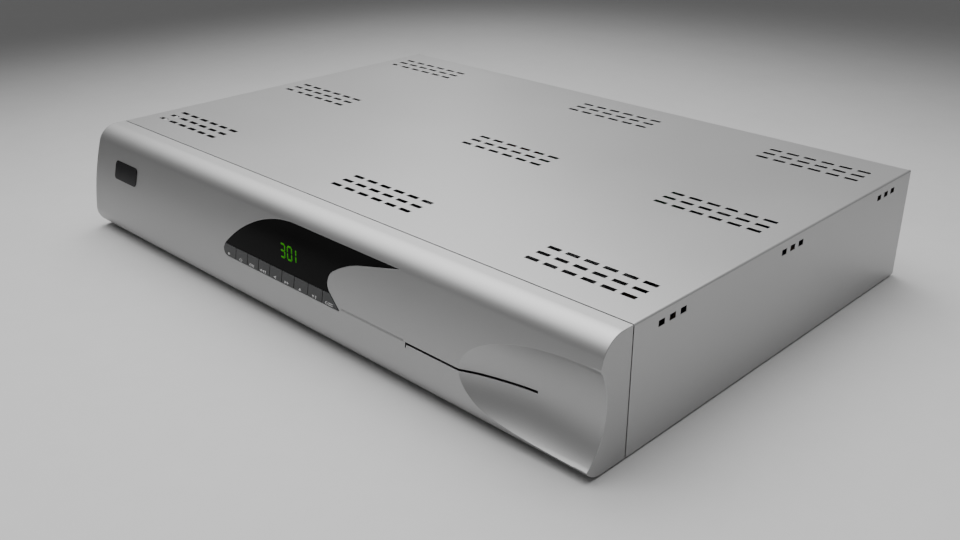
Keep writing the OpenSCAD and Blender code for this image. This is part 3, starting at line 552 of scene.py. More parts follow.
def is_inside(loops, at):
    hit = np.zeros(len(at), bool)
    for loop in loops:
        for (x0, y0), (x1, y1) in zip(loop, np.roll(loop, -1, 0)):
            if y0 == y1:
                continue
            crosses = (y0 > at[:, 1]) != (y1 > at[:, 1])
            hit ^= crosses & (at[:, 0] < x0 + (at[:, 1] - y0) * (x1 - x0) / (y1 - y0))
    return hit


# The grid is finer along s than along x, so the mesh is made in a plane stretched along s
STRETCH, SLIVER, CLEARANCE, ROW_STEP = 3.0, 1e-4, 0.8, 0.9


def triangulate(loops, free, lines=()):
    """Triangles inside the loops: the points, the triangles, and the indices of each curve."""
    curves = [(loop, True) for loop in loops] + [(line, False) for line in lines]
    fixed = np.concatenate([c for c, _ in curves])
    near = np.ones(len(free), bool)
    scale = np.array([1, STRETCH])
    for c in fixed:
        near &= np.sum(((free - c) * scale) ** 2, 1) > CLEARANCE ** 2
    free = free[near]
    free = free[is_inside(loops, free)]
    verts = np.concatenate([fixed, free])
    edges, start = [], 0
    for c, closed in curves:
        n = len(c)
        edges += [(start + i, start + (i + 1) % n) for i in range(n if closed else n - 1)]
        start += n
    out = delaunay_2d_cdt([Vector(v * scale) for v in verts], edges, [], 0, 1e-6)
    points = np.array([tuple(v) for v in out[0]]) / scale
    where = {}
    for new, olds in enumerate(out[3]):
        for old in olds:
            where[old] = new
    indices, start = [], 0
    for c, closed in curves:
        indices.append([where[start + i] for i in range(len(c))])
        start += len(c)
    tris = np.array([f for f in out[2] if len(f) == 3])
    a, b, c = (points[tris[:, k]] for k in range(3))
    area = (b[:, 0] - a[:, 0]) * (c[:, 1] - a[:, 1]) - (b[:, 1] - a[:, 1]) * (c[:, 0] - a[:, 0])
    wide = np.abs(area) > SLIVER
    full = wide & is_inside(loops, points[tris].mean(1))
    return points, close_slivers(tris[full], tris[~wide], indices[:len(loops)]), indices


def close_slivers(kept, thin, rings):
    """Adds the thin triangles that fill a gap between kept ones and the outline."""
    outline = {frozenset(pair) for ring in rings for pair in zip(ring, ring[1:] + ring[:1])}
    kept, thin = [tuple(t) for t in kept], [tuple(t) for t in thin]

    def sides(t):
        return [frozenset((t[k - 1], t[k])) for k in range(3)]
    uses = Counter(side for t in kept for side in sides(t))
    found = True
    while found:
        found = [t for t in thin if any(uses[e] == 1 and e not in outline for e in sides(t))]
        for t in found[:1]:
            thin.remove(t)
            kept.append(t)
            uses.update(sides(t))
    return np.array(kept)


def grid(x0, x1, dx, rows):
    columns = np.linspace(x0, x1, max(2, round((x1 - x0) / dx) + 1))
    return np.array([(x, s) for x in columns for s in rows])


SIDE_PROBE = 0.05
ROLL = [math.pi / 2 * k / 3 for k in (1, 2, 3)]


def rolled_edge(shell, base, ways, radius, proud):
    """Rings that roll from the bezel's surface, or proud of it, over an edge to the wall."""
    rings = []
    for a in ROLL:
        points, normals = [], []
        for b, w in zip(base, ways):
            p, n = bezel_surface(*(b + w * radius * (1 - math.sin(a))))
            out = skin_side(b, w)
            points.append(p - n * (radius * (1 - math.cos(a)) - proud))
            v = n * math.cos(a) + out * math.sin(a)
            normals.append(v / np.linalg.norm(v))
        rings.append(shell.add(points, normals))
    return rings


def skin_side(b, w):
    """The direction away from the material, along the surface."""
    v = skin(*b) - skin(*(b + w * SIDE_PROBE))
    return v / np.linalg.norm(v)


def bezel_surface(x, s):
    return skin(x, s), skin_normal(x, s)


def patch(name, outline, proud, radius, back, step=2.0):
    """A closed solid whose front follows the bezel, standing proud of it, with a rolled edge."""
    loop = split_long(on_path(outline), step)
    base, ways = rim(loop, True)
    ring = base + ways * radius
    lo, hi = ring.min(0), ring.max(0)
    rows = np.arange(lo[1], hi[1], ROW_STEP)
    free = grid(lo[0] + step / 3, hi[0] - step / 3, step * 1.6, rows)
    points, tris, (edge,) = triangulate([ring], free)
    shell = Shell()
    at = [bezel_surface(*p) for p in points]
    front = shell.add([p + n * proud for p, n in at], [n for _, n in at])
    shell.faces += [tuple(front[i] for i in t) for t in tris]
    rings = rolled_edge(shell, base, ways, radius, proud)
    shell.strip([front[i] for i in edge], rings[0])
    for a, b in zip(rings, rings[1:]):
        shell.strip(a, b)
    # The back has the same triangles, with the ring moved out to the wall
    flat = points.copy()
    flat[edge] = base
    rear = shell.add([back(*p) for p in flat], [(0, 1, 0)] * len(flat))
    shell.faces += [tuple(rear[i] for i in t[::-1]) for t in tris]
    shell.strip(rings[-1], [rear[i] for i in edge])
    return shell.build(name)


# ---- front bezel

# The wall and the slot's edge, then the mesh: its points beside the scoop's edge and its grid steps
WALL, SLOT_EDGE, EDGE_BAND = 2.5, 0.16, 0.09
EDGE_ROWS, SLOT_CLEAR, NEAR_END = (-1.6, -0.8, 0.8, 1.6), 1.2, 0.8
COLUMNS, GRID_X, FINE_X, FINE_S, FINE_FROM = 108, 4.0, 2.0, 0.8, 130
STRAIGHT_X = 200


def inner_skin(x, s):
    """The bezel's inner surface behind x and s."""
    (y, z), n = PATH.at(s)
    if abs(x) > STRAIGHT_X:
        squeeze = (HALF_W - WALL - STRAIGHT_X) / (HALF_W - EDGE - STRAIGHT_X)
        x = math.copysign(STRAIGHT_X + (abs(x) - STRAIGHT_X) * squeeze, x)
    first, last = PATH.parts[1][0], PATH.parts[6][0]
    if s <= first or s >= last:
        return np.array((x, y, BODY_H - WALL if s <= first else WALL))
    y, z = y - n[0] * WALL, z - n[1] * WALL
    return np.array((x, max(y, scoop_y(x, z) + WALL) if x > SCOOP_FROM else y, z))


def scoop_edge():
    """The line where the scoop meets the face, in X and s."""
    line = []
    for z in np.linspace(SCOOP_TOP, SCOOP_BOTTOM, 1200):
        s = float(PATH.s_of_z(z))
        (y, _), _ = PATH.at(s)
        inner = SCOOP_R ** 2 - (z - SCOOP_Z) ** 2
        reach = SCOOP_PLAN_R - SCOOP_R + math.sqrt(inner)
        side = reach ** 2 - (y + SCOOP_REAR + SCOOP_PLAN_R) ** 2
        if side > 0:
            x = SCOOP_X - math.sqrt(side)
            if x < HALF_W - EDGE - 1:
                line.append((x, s))
    line = np.array(line)
    run = np.concatenate([[0], np.cumsum(np.linalg.norm(np.diff(line, axis=0), axis=1))])
    even = np.linspace(0, run[-1], round(run[-1]))
    return np.stack([np.interp(even, run, line[:, k]) for k in (0, 1)], 1)


def bezel_border(x1):
    """The sheet's border: its top, right, bottom and left stretches."""
    columns, rows = np.linspace(-x1, x1, COLUMNS), PATH.rows
    top = [(x, 0.0) for x in columns]
    right = [(x1, s) for s in rows[1:-1]]
    bottom = [(x, PATH.length) for x in columns[::-1]]
    left = [(-x1, s) for s in rows[-2:0:-1]]
    return np.array(top + right + bottom + left)


def bezel_grid(x1):
    """The lines that the mesh follows at the scoop's edge and parting line, and its free points."""
    edge = scoop_edge()
    slope = np.gradient(edge, axis=0)
    side = np.stack([-slope[:, 1], slope[:, 0]], 1) / np.linalg.norm(slope, axis=1)[:, None]
    slot = sorted(PATH.s_of_z([SLOT_Z + SLOT_CLEAR, SLOT_Z - SLOT_CLEAR]))
    above, below = edge[:, 1] < slot[0], edge[:, 1] > slot[1]
    folds = [edge + side * d for d in (-EDGE_BAND, EDGE_BAND)]
    parting_x = np.linspace(*PART_X, 36)
    parting = [np.array([(x, float(PATH.s_of_z(z))) for x in parting_x]) for z in PART_Z]
    lines = [fold[half] for fold in folds for half in (above, below)] + parting
    free = grid(-x1, x1, GRID_X, PATH.rows[1:-1])
    rows = np.arange(PATH.s_of_z(SCOOP_TOP + 1), PATH.s_of_z(SCOOP_BOTTOM - 1), FINE_S)
    dense = grid(FINE_FROM, x1 - 1.5, FINE_X, rows)
    here = (free[:, 1] > dense[0, 1]) & (free[:, 1] < dense[:, 1].max())
    free = free[~(here & (free[:, 0] > FINE_FROM - FINE_X))]
    beside = np.concatenate([(edge + side * d)[above | below] for d in EDGE_ROWS])
    beside = beside[beside[:, 0] < x1 - NEAR_END]
    return lines, np.concatenate([free, dense, beside])


def front_bezel():
    loops = [split_long(on_path(OPENING), 1.6), split_long(on_path(CARD_SLOT), 1.2)]
    radii = [EDGE, SLOT_EDGE]
    rims = [rim(loop, False) for loop in loops]
    rings = [base + ways * r for (base, ways), r in zip(rims, radii)]
    x1 = HALF_W - EDGE
    lines, free = bezel_grid(x1)
    points, tris, where = triangulate([bezel_border(x1)] + rings, free, lines)

    shell = Shell()
    at = [bezel_surface(*p) for p in points]
    outer = shell.add([p for p, _ in at], [n for _, n in at])
    shell.faces += [tuple(outer[i] for i in t) for t in tris]
    flat = points.copy()
    for index, (base, _) in zip(where[1:3], rims):
        flat[index] = base
    inner = shell.add([inner_skin(*p) for p in flat], [-n for _, n in at])
    shell.faces += [tuple(inner[i] for i in t[::-1]) for t in tris]
    for index, (base, ways), radius in zip(where[1:3], rims, radii):
        rolled = rolled_edge(shell, base, ways, radius, 0.0)
        shell.strip([outer[i] for i in index], rolled[0])
        for a, b in zip(rolled, rolled[1:]):
            shell.strip(a, b)
        shell.strip(rolled[-1], [inner[i] for i in index])
    finish_ends(shell, outer, inner, where[0])
    return shell.build("bezel_shell")


def flat_wall(shell, ring):
    """Fills a flat ring that lies across X with triangles."""
    kept = [ring[0]]
    for i in ring[1:]:
        if math.dist(shell.points[i], shell.points[kept[-1]]) > 1e-6:
            kept.append(i)
    loop = np.array([shell.points[i][1:] for i in kept])
    points, tris, _ = triangulate([loop], np.zeros((0, 2)))
    nearest = [kept[int(np.argmin(np.sum((loop - p) ** 2, 1)))] for p in points]
    shell.faces += [tuple(nearest[i] for i in t) for t in tris]


def finish_ends(shell, outer, inner, border):
    """Rolled corners, flat end walls and the rear rim."""
    n, m = COLUMNS, len(PATH.rows) - 2
    top = border[:n]
    right = [border[n - 1]] + border[n:n + m] + [border[n + m]]
    bottom = border[n + m:2 * n + m]
    left = [border[2 * n + m - 1]] + border[2 * n + m:] + [border[0]]
    for sign, side in ((1, right), (-1, left[::-1])):
        last = [outer[i] for i in side]
        corners = []
        for a in ROLL:
            x = sign * (HALF_W - EDGE + EDGE * math.sin(a))
            points, normals = [], []
            for s in PATH.rows:
                p, out = bezel_surface(sign * (HALF_W - EDGE), s)
                q = p - out * EDGE * (1 - math.cos(a))
                points.append((x, q[1], q[2]))
                normals.append(out * math.cos(a) + np.array((sign, 0, 0)) * math.sin(a))
            ring = shell.add(points, normals)
            shell.strip(last, ring, closed=False)
            corners.append((last[0], ring[0], last[-1], ring[-1]))
            last = ring
        flat_wall(shell, last)
        for a, b, c, d in corners:
            shell.faces.append((a, b, d, c))
        flat_wall(shell, [inner[i] for i in side])
    for row in (top, bottom):
        shell.strip([outer[i] for i in row], [inner[i] for i in row], closed=False)
    for side in (right, left):
        a, b = side[0], side[-1]
        shell.faces.append((outer[a], outer[b], inner[b], inner[a]))


# ---- window, digits, keys and badge

def shift_outline(outline, by):
    """An outline in X and Z moved in by a distance."""
    loop = np.array(outline, float)
    area = np.sum(loop[:, 0] * np.roll(loop[:, 1], -1) - np.roll(loop[:, 0], -1) * loop[:, 1])
    loop = loop if area > 0 else loop[::-1]
    base, ways = rim(loop, True, fan=1e3)
    return [tuple(p) for p in base + ways * by]


LENS_GAP, LENS_T = 0.12, 2.2


def window_lens():
    def back(x, s):
        p, n = bezel_surface(x, s)
        return p - n * LENS_T
    return patch("window_lens", shift_outline(WINDOW, LENS_GAP), 0.0, LENS_GAP, back)


def clip(outline, x0, x1):
    """A convex outline cut to the band between x0 and x1."""
    for limit, sign in ((x0, 1), (x1, -1)):
        kept = []
        for a, b in zip(outline, outline[1:] + outline[:1]):
            da, db = sign * (a[0] - limit), sign * (b[0] - limit)
            if da >= 0:
                kept.append(a)
            if da * db < 0:
                t = da / (da - db)
                kept.append((a[0] + (b[0] - a[0]) * t, a[1] + (b[1] - a[1]) * t))
        outline = kept
    return outline


def box_bm(bm, lo, hi):
    made = bmesh.ops.create_cube(bm, size=1.0)["verts"]
    for v in made:
        v.co = Vector([lo[k] + (hi[k] - lo[k]) * (v.co[k] + 0.5) for k in range(3)])
    return made


def key_span(i):
    x0 = KEYS_LEFT + sum(KEY_WIDTHS[:i])
    return x0, min(x0 + KEY_WIDTHS[i], TOE[0])


def key_cap(i):
    x0, x1 = key_span(i)
    x1 = min(x1, TOE[0] - TOE_BLUNT)
    outline = clip(shift_outline(KEY_ROW, KEY_GAP / 2), x0 + KEY_GAP / 2, x1 - KEY_GAP / 2)

    def back(x, s):
        return np.array((x, FLANGE_Y, PATH.at(s)[0][1]))
    return patch(f"key_cap_{i + 1}", outline, KEY_PROUD, KEY_EDGE, back, step=1.2)


def key_stem(i):
    """Retaining flange and stem behind the cap."""
    lo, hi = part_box(f"button_{i + 1}")
    x0, x1, rear = lo.x / MM, hi.x / MM, hi.y / MM - SEAM_Y
    left, _ = key_span(i)
    mid = (x0 + x1) / 2 if i < 8 else (left + min(left + KEY_WIDTHS[i], KEYS_RIGHT + 2)) / 2
    z = (KEYS_TOP + KEYS_BOTTOM) / 2
    bm = bmesh.new()
    box_bm(bm, (max(x0, KEYS_LEFT + 2), FLANGE_Y, KEYS_BOTTOM + 0.8),
           (min(x1, KEYS_RIGHT), FLANGE_Y + 1, KEYS_TOP + 1.4))
    box_bm(bm, (mid - STEM_HALF, FLANGE_Y + 1, z - STEM_HALF), (mid + STEM_HALF, rear, z + STEM_HALF))
    return soften(from_bmesh(f"key_stem_{i + 1}", bm, smooth=False), 0.15)


def disc(c, r, n=20):
    return [flat_arc(c, r, 0, 360 - 360 / n, n - 1)]


def ring_marks(c, r, w, a0=0, a1=357):
    """A ring or part of one as a bent band with two ends."""
    return [flat_arc(c, r, a0, a1, 24) + flat_arc(c, r - w, a1, a0, 24)]


def bar_mark(x, z, w, h):
    return [[(x + a * w / 2, z + b * h / 2) for a, b in ((-1, -1), (1, -1), (1, 1), (-1, 1))]]


def arrow_mark(x, z, w, h, way):
    return [[(x - way * w / 2, z - h / 2), (x + way * w / 2, z), (x - way * w / 2, z + h / 2)]]


def up_mark(x, z, w, h, way):
    return [[(x - w / 2, z - way * h / 2), (x + w / 2, z - way * h / 2), (x, z + way * h / 2)]]


def inlay(shell, outline, proud, depth=0.08):
    """Adds a thin tile, given in X and Z, that follows the bezel and stands proud of it."""
    front, rear, normals = [], [], []
    for x, z in outline:
        at, n = bezel_surface(x, float(PATH.s_of_z(z)))
        front.append(at + n * proud)
        rear.append(at + n * (proud - depth))
        normals.append(n)
    a, b = shell.add(front, normals), shell.add(rear, normals)
    shell.faces += [tuple(a), tuple(b[::-1])]
    shell.strip(a, b)


MARK_Z, MARK_SHIFT, MARK_STRETCH, MARK_PROUD = 1.35, -0.6, 1.5, 0.03


def key_mark_outlines(x, z):
    """Generic pictograms of dots, rings, bars and arrows: one set for each key."""
    return [
        disc((x, z + 0.3), 0.7),
        ring_marks((x, z), 0.95, 0.38, 120, 420) + bar_mark(x, z + 0.75, 0.3, 0.9),
        ring_marks((x - 0.9, z), 0.8, 0.36)
        + bar_mark(x + 0.35, z, 0.36, 1.6) + bar_mark(x + 1.05, z, 0.36, 1.6),
        arrow_mark(x - 1.5, z, 1.3, 1.7, -1) + arrow_mark(x, z, 1.3, 1.7, -1)
        + bar_mark(x + 1.4, z, 0.5, 1.7),
        arrow_mark(x, z, 1.5, 1.7, -1),
        arrow_mark(x - 0.8, z, 1.2, 1.7, 1) + arrow_mark(x + 0.6, z, 1.2, 1.7, 1),
        up_mark(x, z + 0.1, 1.7, 1.6, 1),
        up_mark(x - 0.5, z - 0.1, 1.5, 1.5, -1) + bar_mark(x + 1.0, z, 0.45, 1.7),
        ring_marks((x - 1.6, z), 0.8, 0.36, 60, 360)
        + bar_mark(x + 0.6, z + 0.5, 2.4, 0.42) + bar_mark(x + 0.6, z - 0.45, 2.4, 0.42),
    ]


def key_marks(i):
    x = sum(key_span(i)) / 2
    shell = Shell()
    for mark in key_mark_outlines(x, KEYS_BOTTOM + MARK_Z)[i]:
        wide = [(x + (px - x) * MARK_STRETCH + MARK_SHIFT, z) for px, z in mark]
        inlay(shell, wide, KEY_PROUD + MARK_PROUD)
    return shell.build(f"key_mark_{i + 1}", use_normals=False)


DIGIT_X, DIGIT_Z, DIGIT_W, DIGIT_H, DIGIT_LEAN = (-7.1, -0.8, 6.7), 39.0, 4.7, 7.7, -0.27
BAR, BAR_GAP, GUIDE_PROUD, GUIDE_T = 0.95, 0.1, 0.03, 0.6
LIT_BARS = ("abgcd", "abcdef", "ef")


def segment(bar):
    """One mitred bar of a seven-segment digit, from the digit's lower left corner."""
    h, w, t = DIGIT_H, DIGIT_W, BAR
    p, q = {
        "a": ((0, h), (w, h)), "g": ((0, h / 2), (w, h / 2)), "d": ((0, 0), (w, 0)),
        "b": ((w, h), (w, h / 2)), "c": ((w, h / 2), (w, 0)),
        "e": ((0, h / 2), (0, 0)), "f": ((0, h), (0, h / 2)),
    }[bar]
    p, q = (np.clip(np.array(e, float), t / 2, (w - t / 2, h - t / 2)) for e in (p, q))
    along = (q - p) / np.linalg.norm(q - p)
    side = np.array((-along[1], along[0]))
    p, q = p + along * BAR_GAP, q - along * BAR_GAP
    return [p, p + (along + side) * t / 2, q + (side - along) * t / 2, q,
            q - (along + side) * t / 2, p + (along - side) * t / 2]


def lit_digits():
    """Lit bars, each a light guide that ends level with the window."""
    shell = Shell()
    for x0, bars in zip(DIGIT_X, LIT_BARS):
        for bar in bars:
            outline = [(x0 + u + (v - DIGIT_H) * DIGIT_LEAN, DIGIT_Z + v) for u, v in segment(bar)]
            inlay(shell, outline, GUIDE_PROUD, GUIDE_T)
    return shell.build("lit_digits", use_normals=False)


BADGE_AT, BADGE_SIZE, BADGE_R, BADGE_PROUD, BADGE_EDGE = (-176.0, 45.0), (27.0, 12.0), 2.5, 0.4, 0.25


def rounded(c, size, r, n=8, lean=0):
    """A rounded rectangle whose lower corners lean in."""
    out = []
    for k, (sx, sz) in enumerate(((1, 1), (-1, 1), (-1, -1), (1, -1))):
        inset = r + (lean if sz < 0 else 0)
        corner = (c[0] + sx * (size[0] / 2 - inset), c[1] + sz * (size[1] / 2 - r))
        out += flat_arc(corner, r, 90 * k, 90 * k + 90, n)
    return out


def badge():
    plate = rounded(BADGE_AT, BADGE_SIZE, BADGE_R)
    return patch("badge_field", plate, BADGE_PROUD, BADGE_EDGE, skin, step=1.5)


# ---- folded cover

FOLD_R, LEAF = 1.2, 0.3
VENT_X, VENT_Y = (-170.4, 18.0, 167.7), (28.9, 134.8, 241.6)
VENT_L, VENT_W, PITCH_X, PITCH_Y = 8.1, 3.15, 11.6, 8.4
SIDE_VENT_L, SIDE_VENT_Z = 4.7, 61.0
LIP_R, LIP_MID, LIP_LOW = 1.5, 62.0, 58.3
COVER_EDGE, SHARPER_THAN = 0.09, 40
VENT_COLS = [x + (i - 2.5) * PITCH_X for x in VENT_X for i in range(6)]
VENT_ROWS = [y + (j - 1) * PITCH_Y for y in VENT_Y for j in range(3)]


def breaks(lo, hi, centres, halves, longest):
    """Sorted stops from lo to hi, at both sides of each centre and no further apart than longest."""
    marks = [c + e * h for c in centres for e in (-1, 1) for h in halves]
    stops = sorted({lo, hi, *(m for m in marks if lo < m < hi)})
    out = [stops[0]]
    for a, b in zip(stops, stops[1:]):
        n = max(1, math.ceil((b - a) / longest))
        out += [a + (b - a) * (i + 1) / n for i in range(n)]
    return out


def fold(x, start):
    """Stops round a fold about x, from the angle start down by almost a quarter turn."""
    turns = [math.radians(start - 15 * k) for k in range(6)]
    ways = [(math.cos(a), math.sin(a)) for a in turns]
    return [(x + FOLD_R * c, BODY_H - FOLD_R + FOLD_R * s, c, s, "fold") for c, s in ways]


def cover_columns():
    """Stops across the folded sheet: X, Z, the outward normal and which face they start."""
    edge = HALF_W - FOLD_R
    side_z = breaks(0.0, BODY_H - FOLD_R, [SIDE_VENT_Z], [VENT_W / 2], 14)
    top_x = breaks(-edge, edge, VENT_COLS, [VENT_L / 2], 16)
    return ([(-HALF_W, z, -1, 0, "side") for z in side_z[:-1]] + fold(-edge, 180)
            + [(x, BODY_H, 0, 1, "top") for x in top_x[:-1]] + fold(edge, 90)
            + [(HALF_W, z, 1, 0, "side") for z in side_z[::-1]])


def is_vent(kind, x, y, z):
    def near(value, centres, half):
        return any(abs(value - c) < half for c in centres)
    if kind == "top":
        return near(y, VENT_ROWS, VENT_W / 2) and near(x, VENT_COLS, VENT_L / 2)
    return kind == "side" and near(z, [SIDE_VENT_Z], VENT_W / 2) and near(y, VENT_ROWS, SIDE_VENT_L / 2)


class CoverSheet:
    """The folded sheet's points, on its outer and inner side."""

    def __init__(self):
        self.cols = cover_columns()
        self.ys = breaks(0.0, COVER_D - LIP_R, VENT_ROWS, [VENT_W / 2, SIDE_VENT_L / 2], 16)
        self.flat = len(self.ys) - 1
        self.bend = [math.radians(90 - 18 * k) for k in range(1, 6)]
        self.points, self.index = [], {}

    def lip(self, x, step, depth):
        """A point of the rear lip: round its bend, then down."""
        if step < len(self.bend):
            a, r = self.bend[step], LIP_R - depth
            return x, COVER_D - LIP_R + r * math.cos(a), BODY_H - LIP_R + r * math.sin(a)
        return x, COVER_D - depth, (LIP_MID, LIP_LOW)[step - len(self.bend)]

    def point(self, i, j, kind, depth):
        key = (i, j, kind if j > self.flat else "", depth)
        if key not in self.index:
            x, z, nx, nz, _ = self.cols[i]
            if j > self.flat and kind == "top":
                p = self.lip(x, j - self.flat - 1, depth)
            else:
                y = self.ys[j] if j <= self.flat else COVER_D
                p = (x - nx * depth, y, z - nz * depth)
            self.index[key] = len(self.points)
            self.points.append(p)
        return self.index[key]

    def cells(self):
        """Column, row and face of each cell that isn't a slot."""
        for i, (a, b) in enumerate(zip(self.cols, self.cols[1:])):
            kind = a[4]
            x, z = (a[0] + b[0]) / 2, (a[1] + b[1]) / 2
            for j in range(self.flat + (len(self.bend) + 2 if kind == "top" else 1)):
                if j >= self.flat or not is_vent(kind, x, (self.ys[j] + self.ys[j + 1]) / 2, z):
                    yield i, j, kind


def top_cover():
    sheet, faces, edges = CoverSheet(), [], {}
    for i, j, kind in sheet.cells():
        corners = ((i, j), (i + 1, j), (i + 1, j + 1), (i, j + 1))
        outer, inner = ([sheet.point(a, b, kind, depth) for a, b in corners] for depth in (0.0, LEAF))
        faces += [tuple(outer), tuple(inner[::-1])]
        for k, n in ((0, 1), (1, 2), (2, 3), (3, 0)):
            wall = (outer[n], outer[k], inner[k], inner[n])
            edges.setdefault(frozenset(wall[:2]), []).append(wall)
    faces += [uses[0] for uses in edges.values() if len(uses) == 1]
    mesh = closed_mesh("cover_sheet", sheet.points, faces)
    return soften(link("cover_sheet", mesh), COVER_EDGE, 2, SHARPER_THAN)


# ---- CAD nodes refined as they are

REFINE_ANGLE = 32


def refine(node, width, body="root"):
    """A copy of a CAD node's mesh with its flats merged and its edges rounded."""
    bm = bmesh.new()
    bm.from_mesh(frame["nodes"][node].data)
    bmesh.ops.remove_doubles(bm, verts=bm.verts, dist=1e-7)
    bmesh.ops.dissolve_limit(bm, angle_limit=math.radians(0.5), verts=bm.verts, edges=bm.edges,
                             delimit={"NORMAL"})
    mesh = bpy.data.meshes.new(node + "_form")
    bm.to_mesh(mesh)
    bm.free()
    mesh.shade_smooth()
    form = soften(link(node + "_form", mesh), width, 2, REFINE_ANGLE)
    part = next(p for p in frame["record"]["subparts"] if p["node"] == node)
    place(form, part["material_slot"], body, [node])


ROUNDED = {
    "rear_panel": 0.2, "base_pan": 0.25, "bnc_sockets": 0.2, "rca_shells": 0.2, "rca_insulators": 0.2,
    "vga_port": 0.2, "vga_posts": 0.25, "hdmi_port": 0.12, "lan_port": 0.2, "usb_ports": 0.12,
    "alarm_terminal": 0.15, "mains_inlet": 0.3, "inlet_pins": 0.25, "switch_housing": 0.3,
    "fan_frame": 0.4, "fan_guard": 0.05, "fan_screws": 0.4, "cover_screws": 0.25,
    "rear_screws": 0.25, "rubber_feet": 0.3,
}


# ---- rear sockets, fan and switch

PANEL_IN = PANEL_OUT - SHEET
BOARD_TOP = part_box("main_board")[1].z / MM - FOOT_H
BNC_X, BNC_Z, RCA_X, RCA_Z = (-195, -175, -155, -135, -112), (21, 45), (-91, -77), (19, 33)
VGA_AT, HDMI_X, LAN_X, USB_X, ALARM_X, ALARM_PITCH = (55, 22.5), 22, 0, -21, -48, 3.81
FAN_AT, ROCKER_AT, ROCKER_PIVOT, ROCKER_TILT = (105, 34), (150, 24), PANEL_OUT - 1, 9


GAUZE_X, GAUZE_Z, GAUZE_CELLS = (-64, 56), (49, 57.5), (96, 8)
GAUZE_GAP, GAUZE_T, GAUZE_WEAVE = 0.15, 0.5, 0.12


def revolve(bm, profile, at, n=40):
    """Adds a solid of revolution about a line along Y; the closed profile is in radius and Y."""
    ways = [(math.cos(2 * math.pi * k / n), math.sin(2 * math.pi * k / n)) for k in range(n)]
    rings = []
    for r, y in profile:
        if r == 0:
            rings.append([bm.verts.new((at[0], y, at[1]))] * n)
        else:
            rings.append([bm.verts.new((at[0] + r * c, y, at[1] + r * s)) for c, s in ways])
    for a, b in zip(rings, rings[1:] + rings[:1]):
        if a[0] is a[1] and b[0] is b[1]:
            continue
        for k in range(n):
            ring = [a[k], a[(k + 1) % n], b[(k + 1) % n], b[k]]
            bm.faces.new([v for i, v in enumerate(ring) if v is not ring[i - 1]])


def prism(bm, outline, y0, y1):
    """Adds an outline in X and Z, given a depth along Y."""
    near = [bm.verts.new((x, y0, z)) for x, z in outline]
    far = [bm.verts.new((x, y1, z)) for x, z in outline]
    bm.faces.new(near)
    bm.faces.new(far[::-1])
    for i, v in enumerate(near):
        bm.faces.new((near[i - 1], v, far[i], far[i - 1]))


def collar(bm, outer, inner, y0, y1):
    """Adds a band between two outlines of equal count, given a depth along Y."""
    rings = [[bm.verts.new((x, y, z)) for x, z in loop] for loop, y in
             ((outer, y0), (outer, y1), (inner, y1), (inner, y0))]
    for a, b in zip(rings, rings[1:] + rings[:1]):
        for i in range(len(a)):
            bm.faces.new((a[i - 1], a[i], b[i], b[i - 1]))


def turned(name, profile, spots, width=0.1, n=40):
    bm = bmesh.new()
    for at in spots:
        revolve(bm, profile, at, n)
    return soften(from_bmesh(name, bm), width)


def blocks(name, spans, width=0.1):
    bm = bmesh.new()
    for lo, hi in spans:
        box_bm(bm, lo, hi)
    return soften(from_bmesh(name, bm), width)


def dust_gauze():
    """Black woven gauze that backs the row of slots in the rear panel."""
    cols, rows = (np.linspace(*span, n + 1) for span, n in zip((GAUZE_X, GAUZE_Z), GAUZE_CELLS))
    shell, sides = Shell(), []
    for face, y in ((1, PANEL_IN - GAUZE_GAP), (-1, PANEL_IN - GAUZE_GAP - GAUZE_T)):
        net = []
        for j, z in enumerate(rows):
            line = [(x, y - face * GAUZE_WEAVE * ((i + j) % 2), z) for i, x in enumerate(cols)]
            net.append(shell.add(line, [(0, face, 0)] * len(cols)))
        sides.append(net)
        for a, b in zip(net, net[1:]):
            shell.strip(a, b, closed=False)
    rings = [net[0] + [r[-1] for r in net[1:-1]] + net[-1][::-1] + [r[0] for r in net[-2:0:-1]]
             for net in sides]
    shell.strip(*rings)
    return shell.build("dust_gauze", use_normals=False)


def socket_details():
    """Washers, dielectric rings and sprung contacts of the coaxial and audio sockets."""
    y = PANEL_OUT
    bnc = [(x, z) for x in BNC_X for z in BNC_Z]
    rca = [(x, z) for x in RCA_X for z in RCA_Z]
    washer = [(4.9, y), (8.1, y), (8.1, y + 0.5), (4.9, y + 0.5)]
    place(turned("bnc_washers", washer, bnc), "screw_steel")
    core = [(1.3, y + 3.05), (3.55, y + 3.05), (3.55, y + 8.6), (2.5, y + 9.2), (1.3, y + 9.2)]
    place(turned("bnc_dielectrics", core, bnc), "white_nylon")
    pin = [(0.45, y + 9), (0.45, y + 11.3), (0.95, y + 11.3), (1.25, y + 10.9), (1.25, y + 9)]
    place(turned("bnc_contacts", pin, bnc, 0.05, 24), "brass")
    ring = [(1.5, y - 6), (1.95, y - 6), (1.95, y + 1.0), (1.5, y + 1.0)]
    place(turned("rca_contacts", ring, rca, 0.05, 24), "brass")
    band = [(4.1, y + 2.4), (4.3, y + 2.6), (4.3, y + 3.4), (4.1, y + 3.6)]
    place(turned("rca_bands", band, rca, 0.05), "bright_metal")


